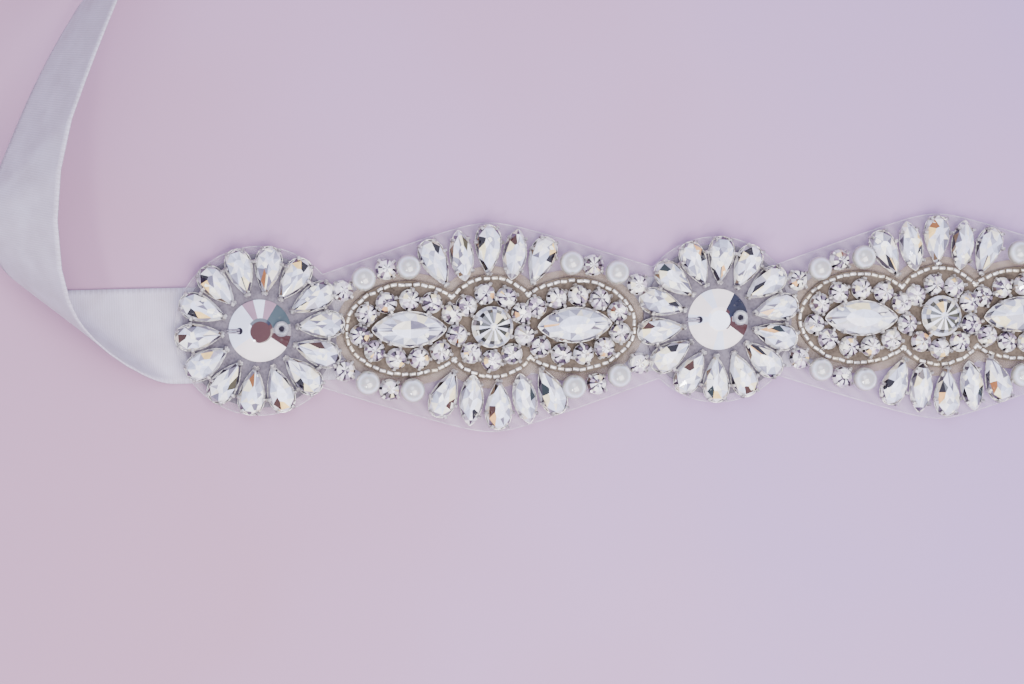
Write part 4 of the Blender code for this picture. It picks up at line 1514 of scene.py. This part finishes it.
def row_spots(x, kind):
    """Spots of one kind of stone in both rows of a medallion."""
    found = []
    for side in (1, -1):
        for what, along, out, degrees in OUTER_ROW:
            if what != kind:
                continue
            shift = FAN_SHIFT[side] if kind in ("pear", "navette") else 0.0
            for way in ((1, -1) if along else (1,)):
                turn_in = -side * (90.0 + way * degrees)
                found.append((x + way * along + shift, side * out, STONE_BASE_Z, turn_in))
    return found


for kind in ("pear", "navette", "chaton", "pearl"):
    print("in the outer rows of a medallion, %s: %d" % (kind, len(row_spots(0.0, kind))))


# %% [markdown]
# ## Pearls
# These pearls are glass balls under lacquer, drilled through and sewn down leaning well over. A
# plain sphere would look the same but for its hole, so the two poles sink in a little and the
# ball is leaned over before it is sewn.

# %% Pearl
PEARL_DIAMETER = 6.5
PEARL_LEAN = 62.0
PEARL_TILT = 0.12
POLE_SINK = 0.55
HOLE_LIP = 0.6
LIP_SHRINK = 0.8
PEARL_CLOUD = 3.85


def pearl_mesh():
    """A drilled pearl: a ball whose poles sink into its hole."""
    shape = bmesh.new()
    bmesh.ops.create_uvsphere(shape, u_segments=28, v_segments=18, radius=PEARL_DIAMETER / 2)
    for vert in shape.verts:
        off = math.hypot(vert.co.x, vert.co.y)
        if off < 0.01:
            vert.co.z *= POLE_SINK
        elif off < HOLE_LIP:
            vert.co.x *= LIP_SHRINK
            vert.co.y *= LIP_SHRINK
    for face in shape.faces:
        face.smooth = True
    lean_over = Matrix.Rotation(math.radians(PEARL_LEAN), 4, "Y")
    shape.transform(Matrix.Translation((0, 0, PEARL_DIAMETER / 2)) @ lean_over)
    return finished_mesh("pearl", shape, outwards=False)


# A glass ball dipped in pearl lacquer many times: light goes a little way in and comes back, so
# it glows softly. Its colour follows height on the ball: painted shade makes it warm grey below,
# painted light makes it palest round its shoulder and a painted reflection greys its top, under a
# clear highlight.
pearl_finish, tree, shader = new_material(
    "pearl_lacquer_on_glass", Roughness=0.25, IOR=1.6, Coat_Weight=1.0, Coat_IOR=1.8, Coat_Roughness=0.07,
    Sheen_Weight=0.5, Sheen_Roughness=0.3, Subsurface_Weight=0.15, Subsurface_Scale=1.0 * MM)
place = add_node(tree, "ShaderNodeTexCoord")
cloud = add_node(tree, "ShaderNodeTexNoise", {
    "Vector": place.outputs["Object"], "Scale": per_metre(PEARL_CLOUD)})
high = add_node(tree, "ShaderNodeSeparateXYZ", {"Vector": place.outputs["Object"]})
# Height on the ball sets the painted shade below, the painted light round the shoulder and the painted
# reflection on top.
rise = add_node(tree, "ShaderNodeMapRange", {
    "Value": high.outputs["Z"], "From Min": (STONE_BASE_Z + PEARL_DIAMETER * 0.5) * MM,
    "From Max": (STONE_BASE_Z + PEARL_DIAMETER * 0.97) * MM})
mixed = add_node(tree, "ShaderNodeMath", {0: cloud.outputs["Fac"], 1: 0.2, 2: rise.outputs[0]},
                 operation="MULTIPLY_ADD")
dyed(tree, shader, mixed.outputs[0], [(0.2, "665F54"), (0.5, "A09C96"), (0.8, "DEE3F8"), (1.0, "A9A7AC")])

one_pearl = pearl_mesh()
print("pearl faces:", len(one_pearl.polygons))

# %% Sew the outer rows
# The stones of both rows are one piece and their settings another, with the pearls apart.
for number, spot in enumerate(MEDALLIONS, 1):
    x = spot * PITCH
    stem = "medallion_%d_" % number
    rows = [
        sew(stem + "row_pears", row_pear, row_spots(x, "pear"), crystal, seed=70 + number),
        sew(stem + "row_boats", navette, row_spots(x, "navette"), crystal, seed=72 + number),
        sew(stem + "row_chatons", chaton_stone, row_spots(x, "chaton"), small_crystal, seed=74 + number,
            tilt=CHATON_TILT)]
    adopt(joined(stem + "row_crystals", rows), "crystal", stem + "row_upper", stem + "row_lower")
    cups = [
        sew(stem + "pear_cups", row_pear_cup, row_spots(x, "pear"), plated, seed=70 + number),
        sew(stem + "boat_cups", navette_cup, row_spots(x, "navette"), plated, seed=72 + number),
        sew(stem + "chaton_cups", chaton_cup, row_spots(x, "chaton"), plated, seed=74 + number,
            tilt=CHATON_TILT)]
    adopt(joined(stem + "row_settings", cups), "setting")
    pearls = sew(stem + "pearls", one_pearl, row_spots(x, "pearl"), pearl_finish, seed=76 + number,
                 tilt=PEARL_TILT)
    adopt(pearls, "pearl")

# %% [markdown]
# ## Bead lines
# Fine silver-lined glass beads, under 2 mm long, are sewn nearly end to end round the lobes of a
# medallion. An array along a curve would set them all dead straight, so a second tree spaces them
# evenly along the line, turns each one along it and lets it stray a little, as thread does.

# %% The bead-line tree
BEAD_LENGTH = 1.65
BEAD_DIAMETER = 0.95
BEAD_BORE = 0.18
BEAD_PITCH = 2.0
BEAD_JITTER = Vector((0.16, 0.16, 0.16)) * MM
BEAD_WOBBLE = Vector((0.1, 0.08, 0.2))

threading, start, end, THREADING_IDS = new_tree("thread_beads", (
    ("Bead", "NodeSocketObject", None), ("Finish", "NodeSocketMaterial", None),
    ("Pitch", "NodeSocketFloat", BEAD_PITCH * MM), ("Seed", "NodeSocketInt", 1)))
line = add_node(threading, "GeometryNodeMeshToCurve", {"Mesh": start.outputs["Geometry"]})
spaced = add_node(threading, "GeometryNodeResampleCurve", {
    "Curve": line.outputs["Curve"], "Length": start.outputs["Pitch"]}, mode="LENGTH")
direction = add_node(threading, "GeometryNodeInputTangent")
along = add_node(threading, "FunctionNodeAlignRotationToVector", {
    "Vector": direction.outputs["Tangent"]}, axis="X")
bead_info = add_node(threading, "GeometryNodeObjectInfo", {"Object": start.outputs["Bead"]})
wobble, stray = [
    add_node(threading, "FunctionNodeRandomValue", {
        "Min": -most, "Max": most, "Seed": start.outputs["Seed"]}, data_type="FLOAT_VECTOR")
    for most in (BEAD_WOBBLE, BEAD_JITTER)]
wobble_turn = add_node(threading, "FunctionNodeEulerToRotation", {"Euler": wobble.outputs["Value"]})
turned_bead = add_node(threading, "FunctionNodeRotateRotation", {
    "Rotation": along.outputs["Rotation"], "Rotate By": wobble_turn.outputs["Rotation"]},
    rotation_space="LOCAL")
strayed = add_node(threading, "GeometryNodeSetPosition", {
    "Geometry": spaced.outputs["Curve"], "Offset": stray.outputs["Value"]})
beads_on = add_node(threading, "GeometryNodeInstanceOnPoints", {
    "Points": strayed.outputs["Geometry"], "Instance": bead_info.outputs["Geometry"],
    "Rotation": turned_bead.outputs["Rotation"]})
close_tree(threading, start, end, beads_on)

# %% One bead and the lines
BEAD_SHOULDER = 0.42
LOBE_SIDE_HALF = (16.6, 12.0)
LOBE_MIDDLE_RADIUS = 13.2
SIDE_ARC_POINTS = 90
MIDDLE_ARC_POINTS = 60
MIDDLE_ARC_FIRST = 38.0
MIDDLE_ARC_TURN = 104.0
BEAD_LINE_Z = GROUND_Z + 0.75


def bead_mesh(length, diameter, bore, sides=8):
    """A short glass tube along X with softened ends."""
    shape = bmesh.new()
    half = ((0.5, bore), (0.5, diameter * BEAD_SHOULDER), (BEAD_SHOULDER, diameter / 2))
    profile = [(-share, radius) for share, radius in half] + list(reversed(half))
    rings = []
    for share, radius in profile:
        rings.append([shape.verts.new((share * length, radius * a, radius * b)) for a, b in circle(sides)])
    bridge(shape, rings, again=True)
    return finished_mesh("bead", shape)


def line_mesh(lines):
    """A mesh of open lines of (x, y, z) points."""
    points = []
    edges = []
    for line_points in lines:
        first = len(points)
        points += [(x * MM, y * MM, z * MM) for x, y, z in line_points]
        edges += [(first + i, first + i + 1) for i in range(len(line_points) - 1)]
    mesh = bpy.data.meshes.new("line")
    mesh.from_pydata(points, edges, [])
    return mesh


def lobe_lines(x):
    """The bead lines of a medallion, each stopping where it meets the next."""
    lines = []
    for side in (-1, 1):
        middle = x + side * OVAL_X
        arc = [(a, b, BEAD_LINE_Z) for a, b in oval_line(middle, LOBE_SIDE_HALF, SIDE_ARC_POINTS, 0.0, 1.0)
               if math.hypot(a - x, b) > LOBE_MIDDLE_RADIUS]
        lines.append(sorted(arc, key=lambda p: math.atan2(p[1], side * (p[0] - middle))))
    for side in (-1, 1):
        arc = []
        for step in range(MIDDLE_ARC_POINTS):
            share = step / (MIDDLE_ARC_POINTS - 1)
            angle = math.radians(MIDDLE_ARC_FIRST + MIDDLE_ARC_TURN * share) * side
            a, b = LOBE_MIDDLE_RADIUS * math.cos(angle), LOBE_MIDDLE_RADIUS * math.sin(angle)
            inside = min(math.hypot((a - way * OVAL_X) / LOBE_SIDE_HALF[0], b / LOBE_SIDE_HALF[1])
                         for way in (-1, 1))
            if inside > 1.0:
                arc.append((x + a, b, BEAD_LINE_Z))
        lines.append(arc)
    return lines


print("points of the bead lines:", [len(arc) for arc in lobe_lines(0.0)])

# %% Silver-lined glass and the finished lines
# Clear glass tubes whose bore is silvered: bright, slightly warm, with a wet gloss, and each bead
# a little lighter or darker than the next. The lining's grain is drawn 0.7 mm wide, coarser
# than real.
LINING_GRAIN = 0.714

silver_lined, tree, shader = new_material("silver_lined_glass", Roughness=0.12, IOR=1.52, Metallic=0.35,
                                          Coat_Weight=0.8)
spark = add_node(tree, "ShaderNodeAttribute", attribute_name="spark")
place = add_node(tree, "ShaderNodeTexCoord")
grain = add_node(tree, "ShaderNodeTexNoise", {
    "Vector": place.outputs["Object"], "Scale": per_metre(LINING_GRAIN)})
mixed = add_node(tree, "ShaderNodeMath", {0: spark.outputs["Fac"], 1: 0.5, 2: grain.outputs["Fac"]},
                 operation="MULTIPLY_ADD")
dyed(tree, shader, mixed.outputs[0], [(0.3, "8A847E"), (0.5, "D6D2D2"), (0.8, "F8F6F4"), (1.0, "D2C6B0")])

bead = link("one_bead", bead_mesh(BEAD_LENGTH, BEAD_DIAMETER, BEAD_BORE))
for number, spot in enumerate(MEDALLIONS, 1):
    beads = run_tree("medallion_%d_bead_lines" % number, line_mesh(lobe_lines(spot * PITCH)), threading, {
        THREADING_IDS["Bead"]: bead, THREADING_IDS["Finish"]: silver_lined,
        THREADING_IDS["Pitch"]: BEAD_PITCH * MM, THREADING_IDS["Seed"]: 80 + number})
    adopt(beads, "silver_bead")
bpy.data.objects.remove(bead, do_unlink=True)
